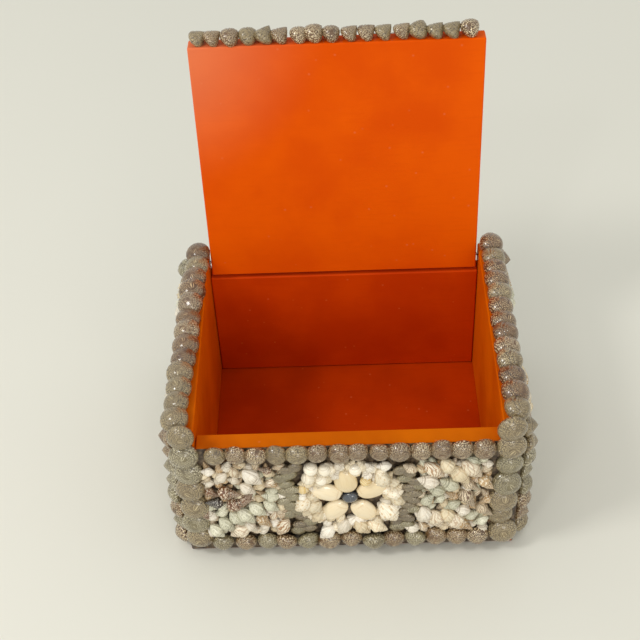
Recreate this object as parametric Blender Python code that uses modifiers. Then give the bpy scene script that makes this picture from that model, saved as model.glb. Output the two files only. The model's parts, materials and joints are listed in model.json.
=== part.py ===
"""Shell box: a painted wooden box with its lid open on two nails and sea shells glued over the outside.

Metres, +Z up. The front looks along -Y. The origin is the middle of the underside. The lid hangs on the
empty lid_hinge, whose X axis is the line of the nails, and it is modelled shut and then turned open.
"""

import math

import bmesh
import bpy
from mathutils import Matrix, Vector

# Boards
INNER_WIDTH = 0.150
INNER_DEPTH = 0.120
FRONT_HEIGHT = 0.076
WALL = 0.0095
FLOOR = 0.004
LID = 0.009
BACK_DROP = 0.0034
RIM_RISE = 0.0092
ARRIS = 0.0006

# Fits
GAP = 0.0003
LID_SIDE_CLEARANCE = 0.0012
NAIL_WIDTH = 0.0016
NAIL_CLEARANCE = 0.0003
NAIL_IN_LID = 0.008
NAIL_INSET = 0.0045
LID_TAIL = 0.0061
NAIL_SIDES = 8
LID_OPEN_DEG = 94.0

# Shells: width across the body whorl, length along the spire, and how far neighbours overlap
ROW_SHELL = 0.0124
ROW_LENGTH = 0.0098
TOP_SHELL = 0.0118
TOP_LENGTH = 0.0078
TOP_ROW_OVERLAP = 0.00105
BOTTOM_ROW_OVERLAP = 0.0007
TOP_ROW_RISE = 0.0037
BOTTOM_ROW_FOOT = 0.0036
COLUMN_SHELL = 0.0150
COLUMN_LENGTH = 0.0100
COLUMN_OVERLAP = 0.0014
COLUMN_FOOT = 0.0070
COLUMN_RISE = 0.0021
COLUMN_OVERHANG = 0.0030
RIM_SHELL = 0.0140
RIM_LENGTH = 0.0100
RIM_OVERLAP = 0.0028
RIM_SETBACK = 0.0075
RIM_INSET = 0.0015
CONE_SHELL = 0.0134
CONE_LENGTH = 0.0092
CONE_OVERLAP = 0.0011
CONE_FOOT = 0.0006
LID_EDGE_SHELL = 0.0106
LID_EDGE_LENGTH = 0.0092
LID_EDGE_OVERLAP = 0.0019
LID_EDGE_RISE = -0.0012
FIELD_LENGTH = 0.0176
FIELD_WIDTH = 0.0108
PLAIN_LENGTH = 0.0272
PLAIN_WIDTH = 0.0140
FIELD_OVERLAP = 0.0008
FIELD_ROW_OVERLAP = 0.0022
SUNBURST_LENGTH = 0.0240
SUNBURST_WIDTH = 0.0136
SUNBURST_OVERLAP = 0.0019
ZONE_GAP = 0.0006

# Flower of glossy ovals, the ring of small shells round it and the curved lines beside it
PETAL_LENGTH = 0.0164
PETAL_WIDTH = 0.0106
PETAL_HEIGHT = 0.0068
FRONT_PETALS_DEG = (99.0, 159.0, 230.0, 303.0, 28.0)
EVEN_PETALS_DEG = (90.0, 162.0, 234.0, 306.0, 18.0)
HEART_WIDTH = 0.0080
HEART_HEIGHT = 0.0064
PETAL_TUCK = 0.0016
RING_SHELL_LENGTH = 0.0114
RING_SHELL_WIDTH = 0.0052
RING_OVERLAP = 0.0020
DIVIDER_SHELL = 0.0098
DIVIDER_LENGTH = 0.0064
DIVIDER_OVERLAP = 0.0024
DIVIDER_CLEARANCE = 0.0003
LID_PETAL_LENGTH = 0.0210
LID_PETAL_WIDTH = 0.0158
LID_HEART_WIDTH = 0.0090

# How the shells stand: the way a spire leans along the line, up the face and out of it, or its slant
RIM_LEAN = (0.0, 0.45, 1.0)
TOP_LEAN = (0.0, -0.3, 1.0)
ROW_LEAN = (0.0, -0.55, 1.0)
COLUMN_LEAN_OUT = 0.25
CONE_LEAN = (0.0, 0.0, 1.0)
DIVIDER_LEAN = (0.0, 0.3, 1.0)
LID_EDGE_LEAN = (0.4, 0.3, 1.0)
FIELD_SLANT_DEG = 60.0
PLAIN_SLANT_DEG = 70.0

# Coarse shell forms: bands from mouth to tip, sides round the whorl
CONE_BANDS = 2
ROUND_BANDS = 3
OVAL_BANDS = 4
ROUND_SIDES = 6
LONG_SIDES = 4
HEART_SIDES = 8
MOUTH = 0.34
SHOULDER = 0.72
FLAT = 0.60
WOBBLE = 0.05
WOBBLE_STEP = 2.4
LEVEL = 0.01
CREASE_DEG = 60.0

# Heights and faces that follow from the boards
INNER_FLOOR = FLOOR + GAP
FRONT_TOP = INNER_FLOOR + FRONT_HEIGHT
BACK_TOP = FRONT_TOP - BACK_DROP
SIDE_TOP = FRONT_TOP + RIM_RISE
HALF_INNER_WIDTH = INNER_WIDTH / 2
HALF_INNER_DEPTH = INNER_DEPTH / 2
HALF_WIDTH = HALF_INNER_WIDTH + GAP + WALL
HALF_DEPTH = HALF_INNER_DEPTH + WALL
HINGE_Y = HALF_DEPTH - NAIL_INSET
HINGE_Z = FRONT_TOP + GAP + LID / 2
LID_HALF_WIDTH = HALF_INNER_WIDTH - LID_SIDE_CLEARANCE
LID_REACH = HINGE_Y + HALF_DEPTH
HINGE_LINE = Matrix.Translation((0.0, HINGE_Y, HINGE_Z))
SIDES = ((-1, "left"), (1, "right"))

# Places on the front that follow from the rows and columns
TOP_HALF = TOP_SHELL * (1 + WOBBLE) / 2
ROW_HALF = ROW_SHELL * (1 + WOBBLE) / 2
COLUMN_HALF = COLUMN_SHELL * (1 + WOBBLE) / 2
CONE_HALF = CONE_SHELL * (1 + WOBBLE) / 2
DIVIDER_HALF = DIVIDER_SHELL / 2
COLUMN_ALONG = HALF_WIDTH + COLUMN_OVERHANG - COLUMN_HALF
COLUMN_INNER = COLUMN_ALONG - COLUMN_HALF
TOP_ROW_UP = FRONT_TOP + TOP_ROW_RISE - TOP_HALF
BOTTOM_ROW_UP = BOTTOM_ROW_FOOT + ROW_HALF
PANEL_UP = (TOP_ROW_UP + BOTTOM_ROW_UP) / 2
PANEL_HALF = (TOP_ROW_UP - BOTTOM_ROW_UP) / 2 - ROW_HALF
FLOWER_RADIUS = HEART_WIDTH / 2 + GAP + PETAL_LENGTH
RING_RADIUS = FLOWER_RADIUS + ZONE_GAP + RING_SHELL_WIDTH * (1 + WOBBLE) / 2
DIVIDER_RADIUS = RING_RADIUS + RING_SHELL_WIDTH / 2 + DIVIDER_CLEARANCE + DIVIDER_HALF
FIELD_EDGE = DIVIDER_RADIUS + DIVIDER_HALF + ZONE_GAP
# The front's own frame: X to the right, Y up and Z towards the viewer
FRONT_FACE = Matrix(((1, 0, 0, 0), (0, 0, -1, -HALF_DEPTH), (0, 1, 0, 0), (0, 0, 0, 1)))

# Colours, and how rough each surface is
SATIN = 0.45
SMOOTH = 0.35
GLOSSY = 0.20
PAINT = (0.62, 0.085, 0.004, 1.0)
SPECKLED = (0.23, 0.17, 0.12, 1.0)
CREAM = (0.75, 0.62, 0.45, 1.0)
OVAL = (0.80, 0.58, 0.30, 1.0)
WHITE = (0.80, 0.74, 0.63, 1.0)
DARK = (0.05, 0.06, 0.08, 1.0)
STEEL = (0.55, 0.52, 0.48, 1.0)


def clear_scene():
    """Removes whatever the file holds."""
    for obj in list(bpy.data.objects):
        bpy.data.objects.remove(obj, do_unlink=True)


def new_collection(name, parent, hidden=False):
    """A collection under parent; a hidden one holds cutters and shells that are only joined in."""
    collection = bpy.data.collections.new(name)
    parent.children.link(collection)
    collection.hide_render = hidden
    return collection


def material(name, color, roughness, metallic=0.0):
    """A Principled BSDF material of one colour."""
    made = bpy.data.materials.new(name)
    made.use_nodes = True
    shader = made.node_tree.nodes["Principled BSDF"]
    shader.inputs["Base Color"].default_value = color
    shader.inputs["Roughness"].default_value = roughness
    shader.inputs["Metallic"].default_value = metallic
    return made


def add_object(name, mesh, collection, parent=None):
    """An object for the mesh, linked to the collection and hung on parent."""
    obj = bpy.data.objects.new(name, mesh)
    collection.objects.link(obj)
    obj.parent = parent
    return obj


def hide_helper(obj):
    """Marks a cutter or a shell that is only joined in."""
    obj.hide_render = True
    obj.display_type = "WIRE"


def box_mesh(name, low, high):
    """A box between two corners."""
    size = Vector(high) - Vector(low)
    middle = (Vector(high) + Vector(low)) / 2
    bm = bmesh.new()
    bmesh.ops.create_cube(bm, size=1.0)
    bmesh.ops.scale(bm, vec=size, verts=bm.verts)
    bmesh.ops.translate(bm, vec=middle, verts=bm.verts)
    mesh = bpy.data.meshes.new(name)
    bm.to_mesh(mesh)
    bm.free()
    return mesh


def board(name, low, high, wood, collection, parent=None):
    """A sawn board with its arrises worn round."""
    obj = add_object(name, box_mesh(name, low, high), collection, parent)
    obj.data.materials.append(wood)
    bevel = obj.modifiers.new("arris", "BEVEL")
    bevel.width = ARRIS
    bevel.segments = 1
    return obj


def rod_mesh(name, radius, start, end):
    """A rod along X from start to end."""
    bm = bmesh.new()
    turn = Matrix.Rotation(math.radians(90), 4, "Y")
    bmesh.ops.create_cone(
        bm,
        cap_ends=True,
        segments=NAIL_SIDES,
        radius1=radius,
        radius2=radius,
        depth=abs(end - start),
        matrix=Matrix.Translation(((start + end) / 2, 0, 0)) @ turn,
    )
    mesh = bpy.data.meshes.new(name)
    bm.to_mesh(mesh)
    bm.free()
    return mesh


def cut(obj, cutter):
    """Takes the cutter out of the object, before its arrises are worn."""
    hide_helper(cutter)
    difference = obj.modifiers.new("bore", "BOOLEAN")
    difference.operation = "DIFFERENCE"
    difference.solver = "EXACT"
    difference.object = cutter


def shell_mesh(name, width, length, bands, sides=ROUND_SIDES, shoulder=SHOULDER, flat=1.0):
    """A coarse shell along +Z: a ball drawn out to a point, widest in its lower bands.

    Two bands give a cone on a shallow mouth, three give a rounder one. flat squeezes it along its Y.
    """
    bm = bmesh.new()
    corner_to_x = Matrix.Rotation(math.radians(90), 4, "Z")
    bmesh.ops.create_uvsphere(
        bm, u_segments=sides, v_segments=bands, radius=1.0, matrix=corner_to_x
    )
    widest = max(vert.co.xy.length for vert in bm.verts)
    for vert in bm.verts:
        spread = width / 2 / widest
        if vert.co.z > LEVEL:
            spread *= shoulder
        vert.co.x *= spread
        vert.co.y *= spread * flat
        if bands == CONE_BANDS and abs(vert.co.z) < LEVEL:
            vert.co.z = MOUTH * 2 - 1
        vert.co.z *= length / 2
    mesh = bpy.data.meshes.new(name)
    bm.to_mesh(mesh)
    bm.free()
    return mesh


def face_matrix(origin, along, up):
    """A face's own frame: X along it, Y up it and Z out of it."""
    along = Vector(along).normalized()
    up = Vector(up).normalized()
    frame = Matrix((along, up, along.cross(up))).transposed().to_4x4()
    return Matrix.Translation(origin) @ frame


def leaning(spire, side):
    """A turn that points a shell's spire along one direction, with its own X as near side as can be."""
    z_axis = Vector(spire).normalized()
    x_axis = Vector(side) - Vector(side).project(z_axis)
    x_axis.normalize()
    return Matrix((x_axis, z_axis.cross(x_axis), z_axis)).transposed().to_4x4()


def lying(angle):
    """A turn that lays a shell flat on its face, its spire at this angle."""
    spire = Vector((math.cos(angle), math.sin(angle), 0.0))
    return leaning(spire, Vector((-spire.y, spire.x, 0.0)))


def glued(face, mesh, turn, along, up, sink=0.0):
    """The place of a shell whose lowest point meets the face at (along, up)."""
    lowest = min((turn @ vert.co).z for vert in mesh.vertices)
    return face @ Matrix.Translation((along, up, GAP - sink - lowest)) @ turn


def reach(length, width, slant):
    """Half of what a lying shell takes up, along the face and up it: as far as its tip or its belly."""
    cos = abs(math.cos(slant))
    sin = abs(math.sin(slant))
    belly = (1 - 2 * MOUTH) * length
    half_width = width * (1 + WOBBLE) / 2
    half_along = max(length * cos / 2, belly * cos / 2 + half_width * sin)
    half_up = max(length * sin / 2, belly * sin / 2 + half_width * cos)
    return half_along, half_up


def evenly(start, end, pitch):
    """Places from start to end, both of them included, no more than pitch apart."""
    if end < start:
        start = end = (start + end) / 2
    count = max(1, math.ceil((end - start) / pitch)) + 1
    return [start + (end - start) * index / (count - 1) for index in range(count)]


def pitch_of(width, overlap):
    """How far apart shells stand whose smallest neighbours overlap by this much."""
    return width * (1 - WOBBLE) - overlap


def slanting_pitch(length, width, slant):
    """How far apart slanting shells lie, so that each one's belly runs into its neighbour's flank."""
    narrow = width * (1 - WOBBLE)
    taper = narrow / (2 * (1 - MOUTH) * length)
    return (narrow - FIELD_OVERLAP) / (math.sin(slant) + taper * math.cos(slant))


class ShellBox:
    """Holds the collections, the materials and the lid's hinge while the pieces are added."""

    def __init__(self):
        scene = bpy.context.scene.collection
        self.parts = new_collection("shell_box", scene)
        self.helpers = new_collection("shell_box_helpers", scene, hidden=True)
        self.paint = material("orange_paint", PAINT, SATIN)
        self.speckled = material("speckled_shell", SPECKLED, SMOOTH)
        self.cream = material("cream_shell", CREAM, SATIN)
        self.oval = material("glossy_oval_shell", OVAL, GLOSSY)
        self.white = material("white_shell", WHITE, SATIN)
        self.dark = material("dark_shell", DARK, GLOSSY)
        self.steel = material("nail_steel", STEEL, SMOOTH, metallic=1.0)
        self.hinge = bpy.data.objects.new("lid_hinge", None)
        self.hinge.location = (0.0, HINGE_Y, HINGE_Z)
        self.hinge.rotation_euler = (math.radians(-LID_OPEN_DEG), 0.0, 0.0)
        self.parts.objects.link(self.hinge)

    def single(self, name, mesh, place, finish, parent=None):
        """One shell as a piece of its own."""
        obj = add_object(name, mesh, self.parts, parent)
        obj.matrix_local = place
        obj.data.materials.append(finish)
        obj.data.shade_smooth()
        obj.data.set_sharp_from_angle(angle=math.radians(CREASE_DEG))
        return obj

    def fused(self, name, shells, finish, parent=None):
        """One body from shells that overlap: each is (mesh, place), the first kept, the rest joined in."""
        obj = self.single(name, *shells[0], finish, parent)
        group = new_collection(name + "_joined", self.helpers, hidden=True)
        for index, (mesh, place) in enumerate(shells[1:]):
            helper = add_object(f"{name}_{index + 1:02d}", mesh, group, parent)
            helper.matrix_local = place
            hide_helper(helper)
        join = obj.modifiers.new("joined", "BOOLEAN")
        join.operation = "UNION"
        join.solver = "EXACT"
        join.operand_type = "COLLECTION"
        join.collection = group
        return obj


def wobbled(width, index):
    """A shell's own width: no two neighbours are quite alike."""
    return width * (1 + WOBBLE * math.sin(WOBBLE_STEP * index))


def line_of_shells(face, start, end, pitch, width, length, lean, bands):
    """Shells glued in a line from start to end, each (along, up), with their spires along lean."""
    first = Vector(start)
    run = Vector(end) - first
    turn = leaning(lean, run.to_3d())
    shells = []
    for index, step in enumerate(evenly(0.0, run.length, pitch)):
        place = first + run.normalized() * step
        mesh = shell_mesh("shell", wobbled(width, index), length, bands)
        shells.append((mesh, glued(face, mesh, turn, place.x, place.y)))
    return shells


def line_of_cones(face, start, end):
    """A line of the cone shells that edge the plainer faces and the lid."""
    pitch = pitch_of(CONE_SHELL, CONE_OVERLAP)
    return line_of_shells(face, start, end, pitch, CONE_SHELL, CONE_LENGTH, CONE_LEAN, CONE_BANDS)


def build_boards(box):
    """The six boards and the two nails."""
    wood = box.paint
    floor_low = (-HALF_WIDTH, -HALF_DEPTH, 0.0)
    floor_high = (HALF_WIDTH, HALF_DEPTH, FLOOR)
    board("floor_board", floor_low, floor_high, wood, box.parts)
    front_low = (-HALF_INNER_WIDTH, -HALF_DEPTH, INNER_FLOOR)
    front_high = (HALF_INNER_WIDTH, -HALF_INNER_DEPTH, FRONT_TOP)
    board("front_wall", front_low, front_high, wood, box.parts)
    back_low = (-HALF_INNER_WIDTH, HALF_INNER_DEPTH, INNER_FLOOR)
    back_high = (HALF_INNER_WIDTH, HALF_DEPTH, BACK_TOP)
    board("back_wall", back_low, back_high, wood, box.parts)

    # The lid is drawn from the line of the nails
    lid_low = (-LID_HALF_WIDTH, -LID_REACH, -LID / 2)
    lid_high = (LID_HALF_WIDTH, LID_TAIL, LID / 2)
    lid = board("lid_board", lid_low, lid_high, wood, box.parts, box.hinge)

    inner_end = LID_HALF_WIDTH - NAIL_IN_LID
    bore_radius = NAIL_WIDTH / 2 + NAIL_CLEARANCE
    for side, word in SIDES:
        inner = side * (HALF_INNER_WIDTH + GAP)
        outer = side * HALF_WIDTH
        low = (min(inner, outer), -HALF_DEPTH, INNER_FLOOR)
        high = (max(inner, outer), HALF_DEPTH, SIDE_TOP)
        wall = board(word + "_wall", low, high, wood, box.parts)
        nail_mesh = rod_mesh("nail", NAIL_WIDTH / 2, side * inner_end, side * (HALF_WIDTH - GAP))
        box.single("hinge_nail_" + word, nail_mesh, HINGE_LINE, box.steel)
        bore = rod_mesh("bore", bore_radius, side * (inner_end - GAP), side * (HALF_WIDTH + WALL))
        wall_bore = add_object(word + "_wall_bore", bore, box.helpers)
        wall_bore.matrix_local = HINGE_LINE
        cut(wall, wall_bore)
        cut(lid, add_object(word + "_lid_bore", bore, box.helpers, box.hinge))


def build_rims(box):
    """A line of shells along the top edge of each side wall, their spires leaning outwards."""
    run = HALF_DEPTH - RIM_SETBACK
    pitch = pitch_of(RIM_SHELL, RIM_OVERLAP)
    for side, word in SIDES:
        face = face_matrix((side * HALF_WIDTH, 0.0, SIDE_TOP), (0, -side, 0), (side, 0, 0))
        shells = line_of_shells(
            face, (-run, -RIM_INSET), (run, -RIM_INSET), pitch, RIM_SHELL, RIM_LENGTH, RIM_LEAN, CONE_BANDS
        )
        box.fused(word + "_rim_shells", shells, box.speckled)


def build_front_frame(box):
    """The rows above and below the front panel and the columns at its corners."""
    for word, up, overlap, width, length, lean, bands in (
        ("top", TOP_ROW_UP, TOP_ROW_OVERLAP, TOP_SHELL, TOP_LENGTH, TOP_LEAN, ROUND_BANDS),
        ("bottom", BOTTOM_ROW_UP, BOTTOM_ROW_OVERLAP, ROW_SHELL, ROW_LENGTH, ROW_LEAN, CONE_BANDS),
    ):
        run = COLUMN_INNER - ZONE_GAP - width * (1 + WOBBLE) / 2
        pitch = pitch_of(width, overlap)
        shells = line_of_shells(FRONT_FACE, (-run, up), (run, up), pitch, width, length, lean, bands)
        box.fused(f"front_{word}_row", shells, box.speckled)
    low = COLUMN_FOOT + COLUMN_HALF
    high = SIDE_TOP + COLUMN_RISE
    pitch = pitch_of(COLUMN_SHELL, COLUMN_OVERLAP)
    for side, word in SIDES:
        along = side * COLUMN_ALONG
        lean = (side * COLUMN_LEAN_OUT, 0.0, 1.0)
        shells = line_of_shells(
            FRONT_FACE, (along, low), (along, high), pitch, COLUMN_SHELL, COLUMN_LENGTH, lean, ROUND_BANDS
        )
        box.fused(f"front_{word}_column", shells, box.speckled)


def petal_places(along, up, length, heart, angles_deg):
    """Where the petals lie round a heart: (turn about the face's normal, place on the face)."""
    out = heart / 2 + GAP + length / 2
    for angle in map(math.radians, angles_deg):
        yield angle, along + out * math.cos(angle), up + out * math.sin(angle)


def petal_mesh(length, width, bands):
    """A glossy oval shell lying along +X, a little narrower towards the heart."""
    mesh = shell_mesh("petal", width, length, bands, shoulder=1.0, flat=PETAL_HEIGHT / width)
    mesh.transform(lying(0.0))
    return mesh


def build_flower(box, prefix, face, up, length, width, heart, angles_deg, parent=None):
    """Five petals round a dark heart on the face's middle line, each of them a piece of its own."""
    for index, (angle, at, high) in enumerate(petal_places(0.0, up, length, heart, angles_deg)):
        mesh = petal_mesh(length, width, OVAL_BANDS)
        place = glued(face, mesh, Matrix.Rotation(angle, 4, "Z"), at, high)
        box.single(f"{prefix}_petal_{index + 1}", mesh, place, box.oval, parent)
    mesh = shell_mesh("heart", heart, HEART_HEIGHT, OVAL_BANDS, HEART_SIDES, shoulder=1.0)
    place = glued(face, mesh, Matrix(), 0.0, up)
    box.single(prefix + "_flower_heart", mesh, place, box.dark, parent)


def joined_flower(box, name, face, up, length, width, heart):
    """A plainer flower as one body: the petals' inner ends run in under the heart."""
    heart_mesh = shell_mesh("heart", heart, HEART_HEIGHT, OVAL_BANDS, shoulder=1.0)
    shells = [(heart_mesh, glued(face, heart_mesh, Matrix(), 0.0, up))]
    for angle, at, high in petal_places(0.0, up, length, heart - 2 * PETAL_TUCK, EVEN_PETALS_DEG):
        mesh = petal_mesh(length, width, ROUND_BANDS)
        shells.append((mesh, glued(face, mesh, Matrix.Rotation(angle, 4, "Z"), at, high)))
    box.fused(name, shells, box.oval)


def flower_radius(length, heart):
    """How far a flower reaches from its middle."""
    return heart / 2 + GAP + length


def ring_of_shells(face, along, up, radius, count, length, width, radial):
    """Long shells in a ring, end to end or, when radial, side by side with their tips outwards."""
    shells = []
    for index in range(count):
        angle = math.tau * index / count
        heading = angle if radial else angle + math.pi / 2
        mesh = shell_mesh("shell", wobbled(width, index), length, CONE_BANDS, LONG_SIDES, flat=FLAT)
        at = along + radius * math.cos(angle)
        high = up + radius * math.sin(angle)
        shells.append((mesh, glued(face, mesh, lying(heading), at, high)))
    return shells


def field_of_shells(face, span, heights, length, width, slant_deg, keep=None):
    """Rows of long shells with their spires up, slanting one way and then the other.

    span and heights are the limits along the face and up it. Each tip runs in under the mouth above it.
    keep(nearest_along, nearest_up) says whether a shell has room, from its corner nearest the middle.
    """
    slant = math.radians(slant_deg)
    half_along, half_up = reach(length, width, slant)
    row_pitch = length * math.sin(slant) - FIELD_ROW_OVERLAP
    pitch = slanting_pitch(length, width, slant)
    shells = []
    for row, up in enumerate(evenly(heights[0] + half_up, heights[1] - half_up, row_pitch)):
        turn = lying(slant if row % 2 == 0 else math.pi - slant)
        for index, along in enumerate(evenly(span[0] + half_along, span[1] - half_along, pitch)):
            if keep and not keep(abs(along) - half_along, abs(up - PANEL_UP) - half_up):
                continue
            wide = wobbled(width, index + row)
            mesh = shell_mesh("shell", wide, length, CONE_BANDS, LONG_SIDES, flat=FLAT)
            shells.append((mesh, glued(face, mesh, turn, along, up)))
    return shells


def outside_divider(nearest_along, nearest_up):
    """Whether a corner this far from the flower's middle is beyond the curved line of shells."""
    return math.hypot(max(0.0, nearest_along), max(0.0, nearest_up)) >= FIELD_EDGE


def build_front_panel(box):
    """Flower, ring, the two curved lines and the two fields of the front."""
    build_flower(
        box, "front", FRONT_FACE, PANEL_UP, PETAL_LENGTH, PETAL_WIDTH, HEART_WIDTH, FRONT_PETALS_DEG
    )
    count = math.ceil(math.tau * RING_RADIUS / (RING_SHELL_LENGTH - RING_OVERLAP))
    ring = ring_of_shells(
        FRONT_FACE, 0.0, PANEL_UP, RING_RADIUS, count, RING_SHELL_LENGTH, RING_SHELL_WIDTH, False
    )
    box.fused("front_flower_ring", ring, box.white)

    half_span = math.asin((PANEL_HALF - DIVIDER_HALF - ZONE_GAP) / DIVIDER_RADIUS)
    heights = (PANEL_UP - PANEL_HALF + ZONE_GAP, PANEL_UP + PANEL_HALF - ZONE_GAP)
    nearest = math.sqrt(FIELD_EDGE**2 - PANEL_HALF**2)
    for side, word in SIDES:
        shells = []
        for angle in evenly(-half_span, half_span, (DIVIDER_SHELL - DIVIDER_OVERLAP) / DIVIDER_RADIUS):
            mesh = shell_mesh("shell", DIVIDER_SHELL, DIVIDER_LENGTH, CONE_BANDS)
            turn = leaning(DIVIDER_LEAN, (-side * math.sin(angle), math.cos(angle), 0.0))
            along = side * DIVIDER_RADIUS * math.cos(angle)
            up = PANEL_UP + DIVIDER_RADIUS * math.sin(angle)
            shells.append((mesh, glued(FRONT_FACE, mesh, turn, along, up)))
        box.fused(f"front_{word}_divider", shells, box.speckled)
        span = sorted((side * nearest, side * (COLUMN_INNER - ZONE_GAP)))
        shells = field_of_shells(
            FRONT_FACE, span, heights, FIELD_LENGTH, FIELD_WIDTH, FIELD_SLANT_DEG, outside_divider
        )
        box.fused(f"front_{word}_field", shells, box.cream)


def build_plain_face(box, prefix, face, ends, half_run, top, has_flower):
    """A plainer face: cones round its edge and long shells inside, with a flower or without.

    ends names its two ends, that of negative X in the face's own frame first.
    """
    column_along = half_run - CONE_HALF
    inner = column_along - CONE_HALF - ZONE_GAP
    low = CONE_FOOT + CONE_HALF
    head = top - CONE_HALF
    row_run = inner - CONE_HALF
    foot = BOTTOM_ROW_FOOT + CONE_HALF
    field_low = foot + CONE_HALF + ZONE_GAP
    columns = tuple(zip((-1, 1), ends))
    for side, word in columns:
        along = side * column_along
        shells = line_of_cones(face, (along, low), (along, head))
        box.fused(f"{prefix}_{word}_column", shells, box.speckled)
    shells = line_of_cones(face, (-row_run, foot), (row_run, foot))
    box.fused(f"{prefix}_bottom_row", shells, box.speckled)
    if not has_flower:
        shells = line_of_cones(face, (-row_run, head), (row_run, head))
        box.fused(f"{prefix}_top_row", shells, box.speckled)
        heights = (field_low, head - CONE_HALF - ZONE_GAP)
        shells = field_of_shells(
            face, (-inner, inner), heights, PLAIN_LENGTH, PLAIN_WIDTH, PLAIN_SLANT_DEG
        )
        box.fused(f"{prefix}_field", shells, box.cream)
        return
    middle = (field_low + top) / 2
    joined_flower(box, prefix + "_flower", face, middle, PETAL_LENGTH, PETAL_WIDTH, HEART_WIDTH)
    start = flower_radius(PETAL_LENGTH, HEART_WIDTH) + ZONE_GAP
    for side, word in columns:
        span = sorted((side * start, side * inner))
        shells = field_of_shells(
            face, span, (field_low, top), PLAIN_LENGTH, PLAIN_WIDTH, PLAIN_SLANT_DEG
        )
        box.fused(f"{prefix}_{word}_field", shells, box.cream)


def build_lid_edge(box):
    """The line of shells on the lid's free edge, which shuts between the front's two columns."""
    face = face_matrix((0.0, -LID_REACH, -LID / 2), (1, 0, 0), (0, 0, 1))
    half = LID_EDGE_SHELL * (1 + WOBBLE) / 2
    up = LID_EDGE_RISE + half
    run = COLUMN_INNER - GAP - half
    pitch = pitch_of(LID_EDGE_SHELL, LID_EDGE_OVERLAP)
    shells = line_of_shells(
        face, (-run, up), (run, up), pitch, LID_EDGE_SHELL, LID_EDGE_LENGTH, LID_EDGE_LEAN, ROUND_BANDS
    )
    box.fused("lid_edge_row", shells, box.speckled, box.hinge)


def build_lid_top(box):
    """The border, the flower and the sunburst on the lid's upper side."""
    face = face_matrix((0.0, 0.0, LID / 2), (1, 0, 0), (0, 1, 0))
    front = CONE_HALF - LID_REACH
    back = LID_TAIL - CONE_HALF
    border = LID_HALF_WIDTH - CONE_HALF
    row_run = border - CONE_HALF * 2 - ZONE_GAP
    for word, start, end in (
        ("left", (-border, front), (-border, back)),
        ("right", (border, front), (border, back)),
        ("back", (-row_run, back), (row_run, back)),
        ("front", (-row_run, front), (row_run, front)),
    ):
        box.fused(f"lid_{word}_border", line_of_cones(face, start, end), box.speckled, box.hinge)

    middle = (front + back) / 2
    build_flower(
        box, "lid", face, middle, LID_PETAL_LENGTH, LID_PETAL_WIDTH, LID_HEART_WIDTH, EVEN_PETALS_DEG,
        box.hinge,
    )
    inner = flower_radius(LID_PETAL_LENGTH, LID_HEART_WIDTH) + ZONE_GAP
    belly_radius = inner + MOUTH * SUNBURST_LENGTH
    count = math.ceil(math.tau * belly_radius / pitch_of(SUNBURST_WIDTH, SUNBURST_OVERLAP))
    shells = ring_of_shells(
        face, 0.0, middle, inner + SUNBURST_LENGTH / 2, count, SUNBURST_LENGTH, SUNBURST_WIDTH, True
    )
    box.fused("lid_sunburst", shells, box.cream, box.hinge)


def build_all():
    """Builds the box piece by piece."""
    clear_scene()
    box = ShellBox()
    build_boards(box)
    build_rims(box)
    build_front_frame(box)
    build_front_panel(box)
    run = HALF_DEPTH - GAP
    left = face_matrix((-HALF_WIDTH, 0.0, 0.0), (0, -1, 0), (0, 0, 1))
    right = face_matrix((HALF_WIDTH, 0.0, 0.0), (0, 1, 0), (0, 0, 1))
    back = face_matrix((0.0, HALF_DEPTH, 0.0), (-1, 0, 0), (0, 0, 1))
    build_plain_face(box, "left", left, ("back", "front"), run, SIDE_TOP, True)
    build_plain_face(box, "right", right, ("front", "back"), run, SIDE_TOP, True)
    build_plain_face(box, "back", back, ("right", "left"), HALF_WIDTH + COLUMN_OVERHANG, BACK_TOP, False)
    build_lid_edge(box)
    build_lid_top(box)


build_all()
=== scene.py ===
"""Looks of an open box of painted wood whose outside is covered with glued sea shells.

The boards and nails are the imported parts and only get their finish. Every row, border, flower and field of
shells is built here shell by shell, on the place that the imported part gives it.
"""

import json
import logging
import math
from dataclasses import dataclass, field
from enum import Enum
from typing import ClassVar

import bpy
import numpy as np
from mathutils import Matrix, Vector

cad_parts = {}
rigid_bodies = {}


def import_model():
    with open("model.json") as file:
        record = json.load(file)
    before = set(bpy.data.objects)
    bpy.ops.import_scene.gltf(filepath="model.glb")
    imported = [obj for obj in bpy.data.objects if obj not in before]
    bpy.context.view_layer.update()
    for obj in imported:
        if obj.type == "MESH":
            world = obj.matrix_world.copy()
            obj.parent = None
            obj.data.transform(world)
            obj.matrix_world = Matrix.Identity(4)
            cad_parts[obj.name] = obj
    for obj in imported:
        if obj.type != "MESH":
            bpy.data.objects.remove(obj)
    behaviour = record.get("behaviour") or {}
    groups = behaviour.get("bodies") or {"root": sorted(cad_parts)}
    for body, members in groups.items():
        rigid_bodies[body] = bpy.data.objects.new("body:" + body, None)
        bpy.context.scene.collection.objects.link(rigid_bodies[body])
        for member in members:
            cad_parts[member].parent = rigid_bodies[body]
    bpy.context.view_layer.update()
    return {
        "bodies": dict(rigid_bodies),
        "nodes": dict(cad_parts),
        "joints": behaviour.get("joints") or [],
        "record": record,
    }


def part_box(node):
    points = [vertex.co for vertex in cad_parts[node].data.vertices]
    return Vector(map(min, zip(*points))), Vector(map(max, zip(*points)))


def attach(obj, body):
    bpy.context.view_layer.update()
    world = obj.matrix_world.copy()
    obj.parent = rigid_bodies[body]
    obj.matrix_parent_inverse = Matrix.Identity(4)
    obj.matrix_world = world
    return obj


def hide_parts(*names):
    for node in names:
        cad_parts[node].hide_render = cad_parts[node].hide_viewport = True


LOG = logging.getLogger("shell_box")
MM = 0.001
# Every random draw starts from this
SEED = 11
# Shells that lie on their mouths are no higher than this, in millimetres
HIGHEST_MM = 7.0
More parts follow.
